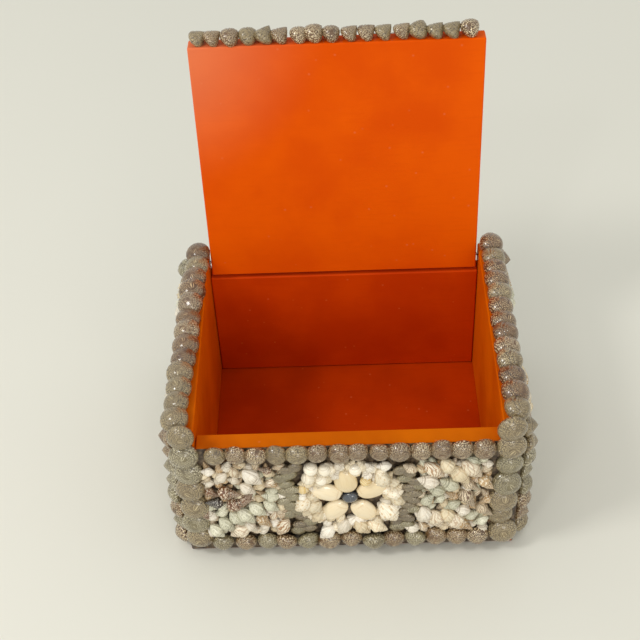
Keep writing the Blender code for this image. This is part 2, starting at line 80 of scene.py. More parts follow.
# The lid stands open this far from level; it shuts short of level, where its shells meet the front's
LID_OPEN_DEG = 94.0


def linear(hex_colour: str) -> tuple[float, float, float, float]:
    """Turns an sRGB hex colour into a linear one.

    Args:
        hex_colour: The colour as "#rrggbb".

    Returns:
        Red, green, blue and an alpha of 1.
    """
    parts = [int(hex_colour[index:index + 2], 16) / 255 for index in (1, 3, 5)]
    red, green, blue = (
        part / 12.92 if part <= 0.04045 else ((part + 0.055) / 1.055) ** 2.4 for part in parts
    )
    return red, green, blue, 1.0


def scale_for(size_mm: float) -> float:
    """The texture scale whose pattern is about this many millimetres wide."""
    return 1 / (size_mm * MM)


class Node(Enum):
    """The nodes in use: type, the output that is read, the inputs given in order, and settings."""

    PLACE = ("TexCoord", "Object", (), {})
    WHORL = ("UVMap", "UV", (), {"uv_map": "whorl"})
    TONE = ("Attribute", "Color", (), {"attribute_name": "tone"})
    SPLIT_PLACE = ("SeparateXYZ", "X", (0,), {})
    SPLIT_COLOUR = ("SeparateColor", "Red", (0,), {})
    JOIN = ("CombineXYZ", "Vector", (0, 1), {})
    STRETCH = ("Mapping", "Vector", ("Vector", "Scale"), {})
    DISTANCE = ("VectorMath", "Value", (0, 1), {"operation": "DISTANCE"})
    NOISE = ("TexNoise", "Fac", ("Vector", "Scale", "Detail"), {})
    FLAT_NOISE = ("TexNoise", "Fac", ("Vector", "Scale", "Detail"), {"noise_dimensions": "2D"})
    CELLS = ("TexVoronoi", "Distance", ("Vector", "Scale"), {})
    FLAT_CELLS = ("TexVoronoi", "Distance", ("Vector", "Scale", "Randomness"), {"voronoi_dimensions": "2D"})
    PLUS = ("Math", 0, (0, 1), {"operation": "ADD"})
    MINUS = ("Math", 0, (0, 1), {"operation": "SUBTRACT"})
    TIMES = ("Math", 0, (0, 1), {"operation": "MULTIPLY"})
    TIMES_PLUS = ("Math", 0, (0, 1, 2), {"operation": "MULTIPLY_ADD"})
    SINE = ("Math", 0, (0,), {"operation": "SINE"})
    STEP = ("MapRange", "Result", ("Value", "From Min", "From Max"), {"interpolation_type": "SMOOTHSTEP"})
    MIX = ("Mix", 2, (0, 6, 7), {"data_type": "RGBA"})
    BRIGHTNESS = ("HueSaturation", "Color", ("Value", "Color"), {})
    BUMP = ("Bump", "Normal", ("Height", "Distance", "Strength"), {})


Value = float | tuple[float, ...] | bpy.types.NodeSocket


class Look:
    """One material that is being made, with its node tree and its shader."""

    def __init__(self, name: str) -> None:
        """Makes the material.

        Args:
            name: Its name.
        """
        self.material = bpy.data.materials.new(name)
        self.material.use_nodes = True
        self.tree = self.material.node_tree
        self.shader = self.tree.nodes["Principled BSDF"]

    def feed(self, node: bpy.types.Node, inputs: dict[int | str, Value]) -> None:
        """Sets or links some inputs of a node.

        Args:
            node: The node.
            inputs: Values or output sockets by the input's name or number.
        """
        for name, value in inputs.items():
            if isinstance(value, bpy.types.NodeSocket):
                self.tree.links.new(value, node.inputs[name])
            else:
                node.inputs[name].default_value = value

    def add(self, kind: Node, *values: Value) -> bpy.types.NodeSocket:
        """Adds one node with its settings and links.

        Args:
            kind: Which node.
            *values: Values or output sockets for its inputs, in their order.

        Returns:
            The output that is read.
        """
        node_type, output, names, settings = kind.value
        node = self.tree.nodes.new(f"ShaderNode{node_type}")
        for name, value in settings.items():
            setattr(node, name, value)
        self.feed(node, dict(zip(names, values)))
        return node.outputs[output]

    def finish(self, **inputs: Value) -> bpy.types.Material:
        """Feeds the shader, whose inputs are named with underscores for spaces.

        Args:
            **inputs: Values or output sockets by input.

        Returns:
            The material.
        """
        self.feed(self.shader, {name.replace("_", " "): value for name, value in inputs.items()})
        return self.material


class Pattern(Enum):
    """How a shell is marked."""

    SPECKLED = "speckled"
    BANDED = "banded"
    FLAMED = "flamed"
    SPOTTED = "spotted"
    PLAIN = "plain"


@dataclass(frozen=True)
class ShellFinish:
    """Aragonite of a sea shell, grown in layers and varnished: satin, with its marks in spiral rows."""

    name: str
    ground: str
    shade: str
    mark: str
    pattern: Pattern
    marks_a_turn: float = 22.0
    rows_a_whorl: float = 5.0
    share: float = 0.5
    groove: str = "#3b2f26"
    # How dark the painted shade in the sutures and between the ribs is
    groove_shade_strength: float = 0.7
    roughness: float = 0.34
    coat: float = 0.35
    cord_depth_mm: float = 0.12
    streaks: float = 0.25
    growth_lines: ClassVar[float] = 46.0
    wander_mm: ClassVar[float] = 3.846
    patch_mm: ClassVar[float] = 5.882
    grain_mm: ClassVar[float] = 1.1111

    def marks(self, look: Look, turn: Value, whorl: Value, where: Value) -> Value:
        """How strongly the marks cover each point.

        Args:
            look: The material that is being made.
            turn: How far round the shell a point lies, 0 to 1.
            whorl: How many whorls from the tip it lies.
            where: The place in metres.

        Returns:
            A socket from 0 to 1, or 0 for a plain shell.
        """
        if self.pattern is Pattern.PLAIN:
            return 0.0
        wander = look.add(Node.NOISE, where, scale_for(self.wander_mm), 2.0)
        across = look.add(Node.TIMES, turn, self.marks_a_turn)
        down = look.add(Node.TIMES, whorl, self.rows_a_whorl)
        if self.pattern is Pattern.BANDED:
            shifted = look.add(Node.TIMES_PLUS, wander, 0.9, down)
            wave = look.add(Node.SINE, look.add(Node.TIMES, shifted, math.tau))
            return look.add(Node.STEP, wave, 0.9 - 1.6 * self.share, 1.5 - 1.6 * self.share)
        if self.pattern is Pattern.FLAMED:
            bent = look.add(Node.TIMES_PLUS, wander, 2.6, across)
            slanted = look.add(Node.PLUS, bent, look.add(Node.TIMES, whorl, 1.7))
            wave = look.add(Node.SINE, look.add(Node.TIMES, slanted, math.tau))
            broken = look.add(Node.TIMES_PLUS, wander, 1.4, look.add(Node.MINUS, wave, 0.7))
            return look.add(Node.STEP, broken, 0.6 - 1.4 * self.share, 1.2 - 1.4 * self.share)
        cells = look.add(Node.FLAT_CELLS, look.add(Node.JOIN, across, down), 1.0, 0.9)
        edge = 0.20 + 0.5 * self.share
        dots = look.add(Node.STEP, cells, edge, edge - 0.20)
        if self.pattern is Pattern.SPOTTED:
            return dots
        return look.add(Node.TIMES, dots, look.add(Node.STEP, wander, 0.30, 0.46))

    def make(self) -> bpy.types.Material:
        """Builds the material: ground colour, marks, painted shade in the grooves and fine spiral cords.

        Returns:
            The material.
        """
        look = Look(self.name)
        parts = look.add(Node.SPLIT_PLACE, look.add(Node.WHORL)).node.outputs
        turn, whorl = parts["X"], parts["Y"]
        where = look.add(Node.PLACE)
        own = look.add(Node.SPLIT_COLOUR, look.add(Node.TONE)).node.outputs
        patch = look.add(Node.NOISE, where, scale_for(self.patch_mm), 3.0)
        varied = look.add(Node.PLUS, look.add(Node.TIMES, own["Red"], 0.75),
                          look.add(Node.TIMES, patch, 0.35))
        colour = look.add(Node.MIX, varied, linear(self.ground), linear(self.shade))
        # Growth lines run from suture to suture, light and dark by turns
        lines_at = look.add(Node.JOIN, look.add(Node.TIMES, turn, self.growth_lines),
                            look.add(Node.TIMES, whorl, 1.3))
        growth = look.add(Node.FLAT_NOISE, lines_at, 1.0, 2.0)
        dark_line = look.add(Node.TIMES, look.add(Node.STEP, growth, 0.50, 0.66), self.streaks)
        colour = look.add(Node.MIX, dark_line, colour, linear(self.groove))
        if self.pattern is not Pattern.PLAIN:
            strength = look.add(Node.TIMES_PLUS, own["Green"], 0.60, 0.45)
            cover = look.add(Node.TIMES, self.marks(look, turn, whorl, where), strength)
            colour = look.add(Node.MIX, cover, colour, linear(self.mark))
        # Painted shade: the sutures and the hollows between the ribs are painted darker, the deeper the
        # darker
        painted_groove_shade = look.add(Node.TIMES, look.add(Node.STEP, own["Blue"], 0.25, 1.0), self.groove_shade_strength)
        colour = look.add(Node.MIX, painted_groove_shade, colour, linear(self.groove))
        light = look.add(Node.TIMES_PLUS, own["Red"], -0.24, 1.10)
        # Spiral cords and growth lines, a few tenths of a millimetre, drawn as coarse as they need to show
        cords = look.add(Node.SINE, look.add(Node.TIMES, whorl, math.tau * self.rows_a_whorl))
        grain = look.add(Node.NOISE, where, scale_for(self.grain_mm), 2.0)
        ridged = look.add(Node.TIMES_PLUS, growth, 0.9, look.add(Node.TIMES, cords, 0.22))
        height = look.add(Node.TIMES_PLUS, grain, 0.5, ridged)
        return look.finish(
            Base_Color=look.add(Node.BRIGHTNESS, light, colour),
            Normal=look.add(Node.BUMP, height, self.cord_depth_mm * MM, 0.7),
            Roughness=look.add(Node.TIMES_PLUS, patch, 0.22, self.roughness - 0.1),
            Coat_Weight=self.coat,
            Coat_Roughness=0.10,
            IOR=1.53,
        )


class Finishes(Enum):
    """The shells' finishes by kind."""

    # Top shells, worn by the surf and varnished: brown to grey-green under fine pale dots, a wet shine
    SPECKLED = ShellFinish("speckled_top_shell", "#50331a", "#7b5830", "#f0dcb4",
                           Pattern.SPECKLED, 30, 5, 0.42, groove_shade_strength=0.55, coat=1.0, streaks=0.45)
    MOSSY = ShellFinish("mossy_top_shell", "#665a40", "#8a7e5a", "#efe5c4",
                        Pattern.SPECKLED, 28, 5, 0.36, groove_shade_strength=0.50, coat=1.0, streaks=0.5)
    BUTTON = ShellFinish("button_top_shell", "#6b583c", "#8d7a56", "#dcc99e",
                         Pattern.SPECKLED, 36, 5, 0.32, groove_shade_strength=0.50, coat=0.9, streaks=0.8)
    WORN = ShellFinish("worn_brown_top_shell", "#4c3017", "#785331", "#dcc093",
                       Pattern.SPECKLED, 32, 5, 0.32, groove_shade_strength=0.55, coat=0.9, streaks=0.6)
    SCALE = ShellFinish("worn_button_shell", "#54442f", "#918062", "#c2b394",
                        Pattern.SPECKLED, 24, 4, 0.25, coat=1.0, streaks=0.7)
    # Small whelks, bleached and brushed thinly: chalky white to cream, faint bands, a soft sheen
    WHITE = ShellFinish("white_whelk_shell", "#fbf5ea", "#f0e4cf", "#d0a878",
                        Pattern.BANDED, 12, 2, 0.06, "#8b6f4d", 0.60, 0.38, 0.35, 0.16, 0.30)
    PALE = ShellFinish("pale_green_shell", "#efebd6", "#dcd9bf", "#8c8768",
                       Pattern.SPECKLED, 20, 4, 0.18, "#70684a", 0.65, 0.38, 0.35, 0.16, 0.35)
    CREAM = ShellFinish("cream_whelk_shell", "#f6ead0", "#ecd9b4", "#c99c63",
                        Pattern.BANDED, 12, 2, 0.14, "#8a6538", 0.55, 0.36, 0.35, 0.14, 0.3)
    BANDED = ShellFinish("banded_whelk_shell", "#f6ecd8", "#eadabb", "#a8784c",
                         Pattern.FLAMED, 6, 3, 0.30, "#6d4a2c", 0.6, 0.36, 0.35, 0.14, 0.35)
    # Horn shells, kept in their own colours: strong flames or rows of pale spots, dark sutures
    TAN = ShellFinish("tan_horn_shell", "#d8b98c", "#c39d6c", "#f7ecd6",
                      Pattern.SPOTTED, 12, 3, 0.42, "#5d3f24", 0.6, 0.38, 0.35, 0.14, 0.35)
    STRIPED = ShellFinish("striped_horn_shell", "#f3e6cf", "#e5d0ae", "#5f351c",
                          Pattern.FLAMED, 10, 3, 0.45, "#3a2113", 0.65, 0.34, 0.4, 0.14, 0.3)
    BROWN = ShellFinish("brown_horn_shell", "#6b4126", "#85552f", "#f6e9d0",
                        Pattern.SPOTTED, 15, 4, 0.42, "#2d1a10", 0.7, 0.34, 0.4, 0.14, 0.3)
    DARK = ShellFinish("dark_horn_shell", "#2b211c", "#3a2c24", "#f2ecdf",
                       Pattern.SPOTTED, 13, 4, 0.26, "#15100d", 0.7, 0.30, 0.5, 0.12, 0.2)
    # Ovals and moon shells, smooth as china by nature: hardly any mark, a sharp highlight
    OVAL = ShellFinish("glossy_oval_shell", "#fff6e4", "#f5dba8", "#fdf3dc",
                       Pattern.PLAIN, 3, 1.0, 0.9, "#cfa263", 0.30, 0.14, 1.0, 0.02, 0.12)
    YELLOW = ShellFinish("yellow_moon_shell", "#f2dca6", "#e8c57f", "#fbf0d0",
                         Pattern.BANDED, 8, 1.5, 0.3, "#a97f49", 0.4, 0.20, 0.6, 0.03, 0.1)
    MOON = ShellFinish("white_moon_shell", "#fbf4e6", "#f0e2c6", "#d9bb8e",
                       Pattern.BANDED, 8, 1.2, 0.1, "#a08660", 0.5, 0.22, 0.6, 0.04, 0.12)
    # Drupes, rough and chalky: the light breaks on their knobs
    DRUPE = ShellFinish("knobbed_drupe_shell", "#f9f0de", "#eedfc0", "#d1ad78",
                        Pattern.SPECKLED, 12, 3, 0.2, "#9a7a4c", 0.6, 0.38, 0.35, 0.14, 0.3)
    # Nerites: polished slate, nearly black
    SLATE = ShellFinish("slate_nerite_shell", "#3b3f48", "#4b5059", "#6d737c",
                        Pattern.BANDED, 6, 1.0, 0.2, "#1c1e22", 0.5, 0.14, 1.0, 0.02, 0.1)


@dataclass(frozen=True)
class ShellForm:
    """How one kind of shell grows, as shares of its own length and width.

    spire and base are (a, b) of the outline (1 - s^a)^b, where s runs from the widest place to either end.
    """

    whorls: int
    growth: float
    body: float
    spire: tuple[float, float]
    base: tuple[float, float]
    suture: float
    ribs: int = 0
    rib_depth: float = 0.0
    knobs: int = 0
    knob_height: float = 0.0
    rows: int = 4
    columns: int = 20
    base_rows: int = 5

    def radius(self, height: np.ndarray) -> np.ndarray:
        """How wide the outline is.

        Args:
            height: Height share from the tip.

        Returns:
            The radius share at each height.
        """
        above = np.clip((self.body - height) / self.body, 0.0, 1.0)
        below = np.clip((height - self.body) / (1.0 - self.body), 0.0, 1.0)
        upper = (1.0 - above ** self.spire[0]) ** self.spire[1]
        lower = (1.0 - below ** self.base[0]) ** self.base[1]
        return np.where(height < self.body, upper, lower)

    def point(self, height: np.ndarray, turn: np.ndarray,
              phase: np.ndarray) -> tuple[np.ndarray, np.ndarray]:
        """Where the surface lies, and how deep in a groove.

        Args:
            height: Height share from the tip.
            turn: Share of a turn round the axis.
            phase: Whorls from the tip, counted along the spiral.

        Returns:
            The points, and the groove depth from 0 to 1.
        """
        part = phase - np.floor(phase)
        since = phase - (self.whorls - 1)
        # The lip lies at the end of a turn: there the last whorl joins the one before it
        closing = np.clip((turn - 0.7) / 0.3, 0.0, 1.0) ** 2
        open_arch = np.sin(math.pi / 2 * np.clip(2 * since, 0.0, 1.0))
        next_arch = np.sin(math.pi / 2 * np.clip(2 * (since - 1), 0.0, 1.0))
        shut_arch = np.where(since < 1, np.sin(math.pi * part), next_arch)
        last = open_arch + (shut_arch - open_arch) * closing
        arch = np.where(since >= 0, last, np.sin(math.pi * part))
        arch = np.sqrt(np.clip(arch, 0.0, 1.0))
        outline = self.radius(height)
        # Sutures are finer near the tip, where the whorls are small
        groove = (1.0 - arch) * np.clip(outline / 0.6, 0.0, 1.0)
        swell = 1.0 - self.suture * groove
        if self.ribs:
            wave = np.cos(math.tau * self.ribs * turn)
            swell = swell * (1.0 + self.rib_depth * wave * (0.3 + 0.7 * arch))
            groove = np.maximum(groove, np.clip(-wave, 0, 1) * 0.6)
        if self.knobs:
            knob = np.clip(np.cos(math.tau * self.knobs * turn), 0, 1) ** 2
            ridge = np.exp(-((part - 0.5) / 0.22) ** 2)
            swell = swell * (1.0 + self.knob_height * knob * ridge)
        reach = outline * swell
        angle = math.tau * turn
        points = np.stack([reach * np.cos(angle), reach * np.sin(angle), 0.5 - height], axis=-1)
        return points, groove


class Forms(Enum):
    """The shells' forms by kind."""

    TOP = ShellForm(4, 1.75, 0.60, (1.9, 0.62), (2.6, 0.45), 0.05, columns=18, base_rows=4)
    TURBAN = ShellForm(4, 1.62, 0.64, (1.7, 0.66), (2.6, 0.45), 0.08, columns=18, base_rows=4)
    DOME = ShellForm(4, 1.85, 0.66, (2.3, 0.50), (2.4, 0.45), 0.035, columns=18, base_rows=4)
    CONE = ShellForm(5, 1.45, 0.68, (1.25, 0.90), (2.6, 0.5), 0.09, columns=18, base_rows=4)
    SCALE = ShellForm(3, 2.0, 0.50, (2.0, 0.55), (2.0, 0.5), 0.05, columns=18, base_rows=4)
    WHELK = ShellForm(5, 1.42, 0.56, (1.25, 0.9), (1.6, 0.78), 0.20, 11, 0.12, rows=3, columns=33,
                      base_rows=3)
    HORN = ShellForm(7, 1.27, 0.70, (1.15, 0.95), (1.8, 0.6), 0.20, 10, 0.10, rows=3, columns=30,
                     base_rows=3)
    SMOOTH = ShellForm(5, 1.45, 0.52, (1.4, 0.80), (1.7, 0.70), 0.14, 12, 0.04, rows=3, columns=24,
                       base_rows=3)
    OVAL = ShellForm(2, 2.6, 0.50, (2.3, 0.5), (2.3, 0.5), 0.01, columns=28, base_rows=7)
    MOON = ShellForm(3, 2.0, 0.50, (2.0, 0.5), (2.0, 0.5), 0.10, columns=20, base_rows=4)
    DRUPE = ShellForm(4, 1.6, 0.50, (1.3, 0.85), (1.6, 0.7), 0.16, 0, 0.0, 8, 0.24, columns=24,
                      base_rows=3)


def grid_quads(rows: int, columns: int) -> np.ndarray:
    """The faces of a grid of points.

    Args:
        rows: How many rows of points.
        columns: How many points a row.

    Returns:
        Four point numbers a face.
    """
    index = np.arange(rows * columns).reshape(rows, columns)
    corners = [index[:-1, :-1], index[1:, :-1], index[1:, 1:], index[:-1, 1:]]
    return np.stack(corners, axis=-1).reshape(-1, 4)


def linked(name: str, data: bpy.types.ID) -> bpy.types.Object:
    """Puts a new object in the scene.

    Args:
        name: Its name.
        data: Its mesh, light or camera.

    Returns:
        The object.
    """
    made = bpy.data.objects.new(name, data)
    bpy.context.scene.collection.objects.link(made)
    return made


@dataclass
class Template:
    """One shell of unit length and width: its points, faces, spiral coordinates and grooves."""

    points: np.ndarray
    quads: np.ndarray
    triangles: np.ndarray
    quad_uv: np.ndarray
    triangle_uv: np.ndarray
    groove: np.ndarray

    @classmethod
    def grow(cls, form: ShellForm) -> "Template":
        """Winds the strip of whorls from the tip to the lip and closes it below.

        Args:
            form: The kind of shell.

        Returns:
            The shell's mesh data, its tip at +Z.
        """
        turn = np.linspace(0.0, 1.0, form.columns + 1)
        heights, phases = [], []
        for row in range(form.whorls * form.rows + 1):
            phase = row / form.rows
            heights.append(form.body * form.growth ** (phase - turn - form.whorls))
            phases.append(np.full_like(turn, phase))
        for row in range(1, form.rows + 1):
            depth = form.whorls - turn * (1 - row / form.rows)
            heights.append(form.body * form.growth ** (depth - form.whorls))
            phases.append(depth + turn)
        for row in range(1, form.base_rows + 1):
            share = math.sin(math.pi / 2 * row / form.base_rows)
            heights.append(np.full_like(turn, form.body + (1 - form.body) * share))
            phases.append(form.whorls + turn + row / form.base_rows)
        height, phase = np.array(heights), np.array(phases)
        around = np.broadcast_to(turn, height.shape)
        grid, groove = form.point(height, around, phase)
        count = height.size
        index = np.arange(count).reshape(height.shape)
        uv = np.stack([around, phase], axis=-1).reshape(-1, 2)
        # The tip is a fan over the first row and the end of the next ones
        rim = list(index[0]) + list(index[1:form.rows, -1]) + [index[form.rows, -1]]
        fan = np.array([(count, rim[step], rim[step + 1]) for step in range(len(rim) - 1)])
        points = np.vstack([grid.reshape(-1, 3), [(0.0, 0.0, 0.5)]])
        uv = np.vstack([uv, [(0.5, 0.0)]])
        groove = np.append(groove.reshape(-1), 0.0)
        return cls.welded(points, grid_quads(*height.shape), fan, uv, groove)

    @classmethod
    def welded(cls, points: np.ndarray, quads: np.ndarray, fan: np.ndarray, uv: np.ndarray,
               groove: np.ndarray) -> "Template":
        """Joins points at one place and sorts out the faces that shrank to triangles.

        Args:
            points: All points, doubles included.
            quads: Faces of four points.
            fan: Faces of three points.
            uv: Spiral coordinates by point.
            groove: Groove depth by point.

        Returns:
            The closed mesh data.
        """
        _, first, same = np.unique(np.round(points, 5), axis=0, return_index=True, return_inverse=True)
        same = same.reshape(-1)
        whole, shrunk = [], []
        for face in [*quads.tolist(), *fan.tolist()]:
            kept = [corner for step, corner in enumerate(face) if same[corner] != same[face[step - 1]]]
            if len(kept) == 4:
                whole.append(kept)
            elif len(kept) == 3 and len({same[corner] for corner in kept}) == 3:
                shrunk.append(kept)
        whole, shrunk = np.array(whole), np.array(shrunk)
        return cls(points[first], same[whole], same[shrunk], uv[whole], uv[shrunk], groove[first])


@dataclass(frozen=True)
class Placed:
    """One shell on a face: where its middle lies, where its spire points and how large it is."""

    form: Forms
    finish: Finishes
    along: float
    up: float
    spire: tuple[float, float, float]
    width: float
    length: float
    roll: float = 0.0
    flat: float = 1.0
    lift: float = 0.0


def turned(spire: tuple[float, float, float], roll: float) -> np.ndarray:
    """A turn that points +Z along the spire, rolled about it.

    Args:
        spire: Direction in the face's frame.
        roll: Turn about the spire, in radians.

    Returns:
        A 3 by 3 matrix.
    """
    z_axis = Vector(spire).normalized()
    side = Vector((0.0, 0.0, 1.0)) if abs(z_axis.z) < 0.9 else Vector((0.0, 1.0, 0.0))
    x_axis = side.cross(z_axis).normalized()
    y_axis = z_axis.cross(x_axis)
    frame = np.array(Matrix((x_axis, y_axis, z_axis)).transposed())
    return frame @ np.array(Matrix.Rotation(roll, 3, "Z"))


@dataclass
class ShellPiece:
    """All shells of one row, border, flower or field, joined in one mesh on its place."""

    name: str
    face: "Face"
    slot: str
    replaces: tuple[str, ...]
    shells: list[Placed]

    templates: ClassVar[dict[Forms, Template]] = {}
    materials: ClassVar[dict[Finishes, bpy.types.Material]] = {}

    def build(self) -> bpy.types.Object:
        """Grows, turns and glues every shell, and hangs the piece on its body.

        Returns:
            The piece's object.
        """
        random = np.random.default_rng(SEED + sum(map(ord, self.name)))
        finishes = sorted({shell.finish for shell in self.shells}, key=lambda finish: finish.name)
        points, quads, triangles, quad_uv, triangle_uv, tones = [], [], [], [], [], []
        quad_slots, triangle_slots = [], []
        offset = 0
        place = np.array(self.face.matrix)
        for shell in self.shells:
            if shell.form not in self.templates:
                self.templates[shell.form] = Template.grow(shell.form.value)
            template = self.templates[shell.form]
            size = np.array([shell.width, shell.width, shell.length])
            local = (template.points * size) * np.array([0.5, 0.5, 1.0])
            local = local @ turned(shell.spire, shell.roll).T
            local[:, 2] *= shell.flat
            local += np.array([shell.along, shell.up, shell.lift - local[:, 2].min()])
            points.append(local @ place[:3, :3].T + place[:3, 3])
            quads.append(template.quads + offset)
            triangles.append(template.triangles + offset)
            quad_uv.append(template.quad_uv.reshape(-1, 2))
            triangle_uv.append(template.triangle_uv.reshape(-1, 2))
            slot = finishes.index(shell.finish)
            quad_slots.append(np.full(len(template.quads), slot))
            triangle_slots.append(np.full(len(template.triangles), slot))
            own = np.tile(random.random(2), (len(local), 1))
            tones.append(np.column_stack([own, template.groove, np.ones(len(local))]))
            offset += len(local)
        mesh = bpy.data.meshes.new(self.name)
        faces = np.vstack(quads).tolist() + np.vstack(triangles).tolist()
        mesh.from_pydata(np.vstack(points).tolist(), [], faces)
        slots = np.concatenate(quad_slots + triangle_slots).astype(np.int32)
        mesh.polygons.foreach_set("material_index", slots)
        layer = mesh.uv_layers.new(name="whorl")
        layer.data.foreach_set("uv", np.vstack(quad_uv + triangle_uv).astype(np.float32).ravel())
        tone = mesh.color_attributes.new("tone", "FLOAT_COLOR", "POINT")
        tone.data.foreach_set("color", np.vstack(tones).astype(np.float32).ravel())
        mesh.shade_smooth()
        for finish in finishes:
            if finish not in self.materials:
                self.materials[finish] = finish.value.make()
            mesh.materials.append(self.materials[finish])
        piece = linked(self.name, mesh)
        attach(piece, self.face.body)
        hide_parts(*self.replaces)
        LOG.info("%s: %d shells, %d faces", self.name, len(self.shells), len(faces))
        return piece


class Kinds(Enum):
    """The kinds of shell in the glued fields: form, finish and width as a share of the length."""

    WHITE = (Forms.WHELK, Finishes.WHITE, 0.60)
    PALE = (Forms.WHELK, Finishes.PALE, 0.56)
    CREAM = (Forms.WHELK, Finishes.CREAM, 0.58)
    BANDED = (Forms.SMOOTH, Finishes.BANDED, 0.56)
    FAN = (Forms.WHELK, Finishes.BANDED, 0.66)
    TAN = (Forms.HORN, Finishes.TAN, 0.50)
    STRIPED = (Forms.HORN, Finishes.STRIPED, 0.50)
    BROWN = (Forms.HORN, Finishes.BROWN, 0.52)
    DARK = (Forms.HORN, Finishes.DARK, 0.56)
    ROUND = (Forms.MOON, Finishes.MOON, 0.98)
    YELLOW = (Forms.MOON, Finishes.YELLOW, 0.98)
    KNOBBED = (Forms.DRUPE, Finishes.DRUPE, 0.66)

    def __init__(self, form: Forms, finish: Finishes, slimness: float) -> None:
        """Keeps the three values under their names.

        Args:
            form: The shell's form.
            finish: Its looks.
            slimness: Its width as a share of its length.
        """
        self.form = form
        self.finish = finish
        self.slimness = slimness

    def laid(self, along: float, up: float, heading: float, length: float, lift: float = 0.0,
             flat: float = 1.0) -> Placed:
        """One shell of this kind lying on a face.

        Args:
            along: Place of its middle along the face, in millimetres.
            up: Place of its middle up the face, in millimetres.
            heading: Where its tip points, in degrees from along towards up.
            length: Its length in millimetres.
            lift: How far it lies above the face, on glue or on other shells, in millimetres.
            flat: Its height as a share of its width.

        Returns:
            The placed shell, in metres.
        """
        angle = math.radians(heading)
        spire = (math.cos(angle), math.sin(angle), 0.08)
        wide = length * self.slimness * MM
        flat = min(flat, HIGHEST_MM * MM / wide)
        roll = along * 1.7 + up
        return Placed(self.form, self.finish, along * MM, up * MM, spire, wide, length * MM, roll, flat,
                      lift * MM)


@dataclass(frozen=True)
class Face:
    """One side of a board, with its own frame: X along it, Y up it and Z out of it."""

    nodes: dict[str, bpy.types.Object]
    origin: tuple[float, float, float]
    along: tuple[float, float, float] = (1, 0, 0)
    up: tuple[float, float, float] = (0, 0, 1)
    body: str = "box"
    place: Matrix = field(default_factory=Matrix)

    @property
    def matrix(self) -> Matrix:
        """The face's frame in the world at rest."""
        along, up = Vector(self.along), Vector(self.up)
        turn = Matrix((along, up, along.cross(up))).transposed().to_4x4()
        return self.place @ Matrix.Translation(self.origin) @ turn

    def corners(self, *names: str) -> np.ndarray:
        """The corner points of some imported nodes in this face's frame, in metres."""
        back = self.matrix.inverted()
        return np.array([back @ vert.co for name in names for vert in self.nodes[name].data.vertices])

    def span(self, *names: str) -> tuple[np.ndarray, np.ndarray]:
        """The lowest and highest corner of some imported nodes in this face's frame, in metres."""
        corners = self.corners(*names)
        return corners.min(axis=0), corners.max(axis=0)


@dataclass(frozen=True)
class ShellLine:
    """A row, column or border of round shells that stand on their mouths, spires out of the face."""

    node: str
    face: Face
    forms: tuple[Forms, ...]
    finishes: tuple[Finishes, ...]
    count: int
    lean: tuple[float, float, float]
    width: float
    length: float
    slot: str = "speckled_shell"
    unevenness: float = 0.07
    stretch: float = 0.0
    shift: tuple[float, float] = (0.0, 0.0)
    wander_mm: float = 0.35
    sink_mm: float = 0.2
    flat: float = 1.0
    slant_mm: float = 0.0

    def build(self) -> bpy.types.Object:
        """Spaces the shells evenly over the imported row, each a little different, and builds them.

        Returns:
            The row's object.
        """
        random = np.random.default_rng(SEED + sum(map(ord, self.node)))
        low, high = self.face.span(self.node)
        middle = (low + high) / 2
        size = high - low
        axis = int(size[1] > size[0])
        half = (size[axis] + (self.stretch - self.width) * MM) / 2
        middle[:2] += np.array(self.shift) * MM
        shells = []
        for index in range(self.count):
            place = middle.copy()
            share = 2 * index / (self.count - 1) - 1
            place[axis] += half * share
            place[1 - axis] += self.slant_mm * MM * share / 2
            place[:2] += random.normal(0.0, self.wander_mm * MM, 2)
            lean = Vector(self.lean).normalized() + Vector(random.normal(0.0, 0.13, 3))
            scale = 1 + random.uniform(-self.unevenness, self.unevenness * 0.6)
            finish = self.finishes[random.integers(len(self.finishes))]
            form = self.forms[random.integers(len(self.forms))]
            shells.append(Placed(form, finish, place[0], place[1], tuple(lean), self.width * MM * scale,
                                 self.length * MM * scale, random.uniform(0, math.tau), self.flat,
                                 -self.sink_mm * MM))
        return ShellPiece(f"{self.node}_shells", self.face, self.slot, (self.node,), shells).build()


@dataclass(frozen=True)
class Petals:
    """A flower of glossy oval shells round a dark one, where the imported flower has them."""

    prefix: str
    face: Face
    fullness: float = 1.12
    heart_width: float = 0.86
    heart_length: float = 1.06

    def build(self) -> None:
        """Builds each petal and the heart on their own nodes."""
        heart = f"{self.prefix}_flower_heart"
        low, high = self.face.span(heart)
        centre = (low + high) / 2
        width = float(high[0] - low[0])
        tall = float(high[2] - low[2])
        stone = Placed(Forms.OVAL, Finishes.SLATE, centre[0], centre[1], (0.9, 0.35, 0.12),
                       width * self.heart_width, width * self.heart_length, 1.0, tall / width)
        ShellPiece(f"{heart}_shell", self.face, "dark_shell", (heart,), [stone]).build()
        for index in range(1, 6):
            node = f"{self.prefix}_petal_{index}"
            points = self.face.corners(node)
            middle = (points.min(axis=0) + points.max(axis=0)) / 2
            outward = middle[:2] - centre[:2]
            outward /= np.linalg.norm(outward)
            sideways = np.array([-outward[1], outward[0]])
            reach = points[:, :2] @ outward
            across = points[:, :2] @ sideways
            place = outward * (reach.max() + reach.min()) / 2
            place += sideways * (across.max() + across.min()) / 2
            wide = float(np.ptp(across)) * self.fullness
            petal = Placed(Forms.OVAL, Finishes.OVAL, place[0], place[1], (-outward[0], -outward[1], 0.0),
                           wide, float(np.ptp(reach)), 0.4 * index, float(np.ptp(points[:, 2])) / wide)
            ShellPiece(f"{node}_shell", self.face, "glossy_oval_shell", (node,), [petal]).build()


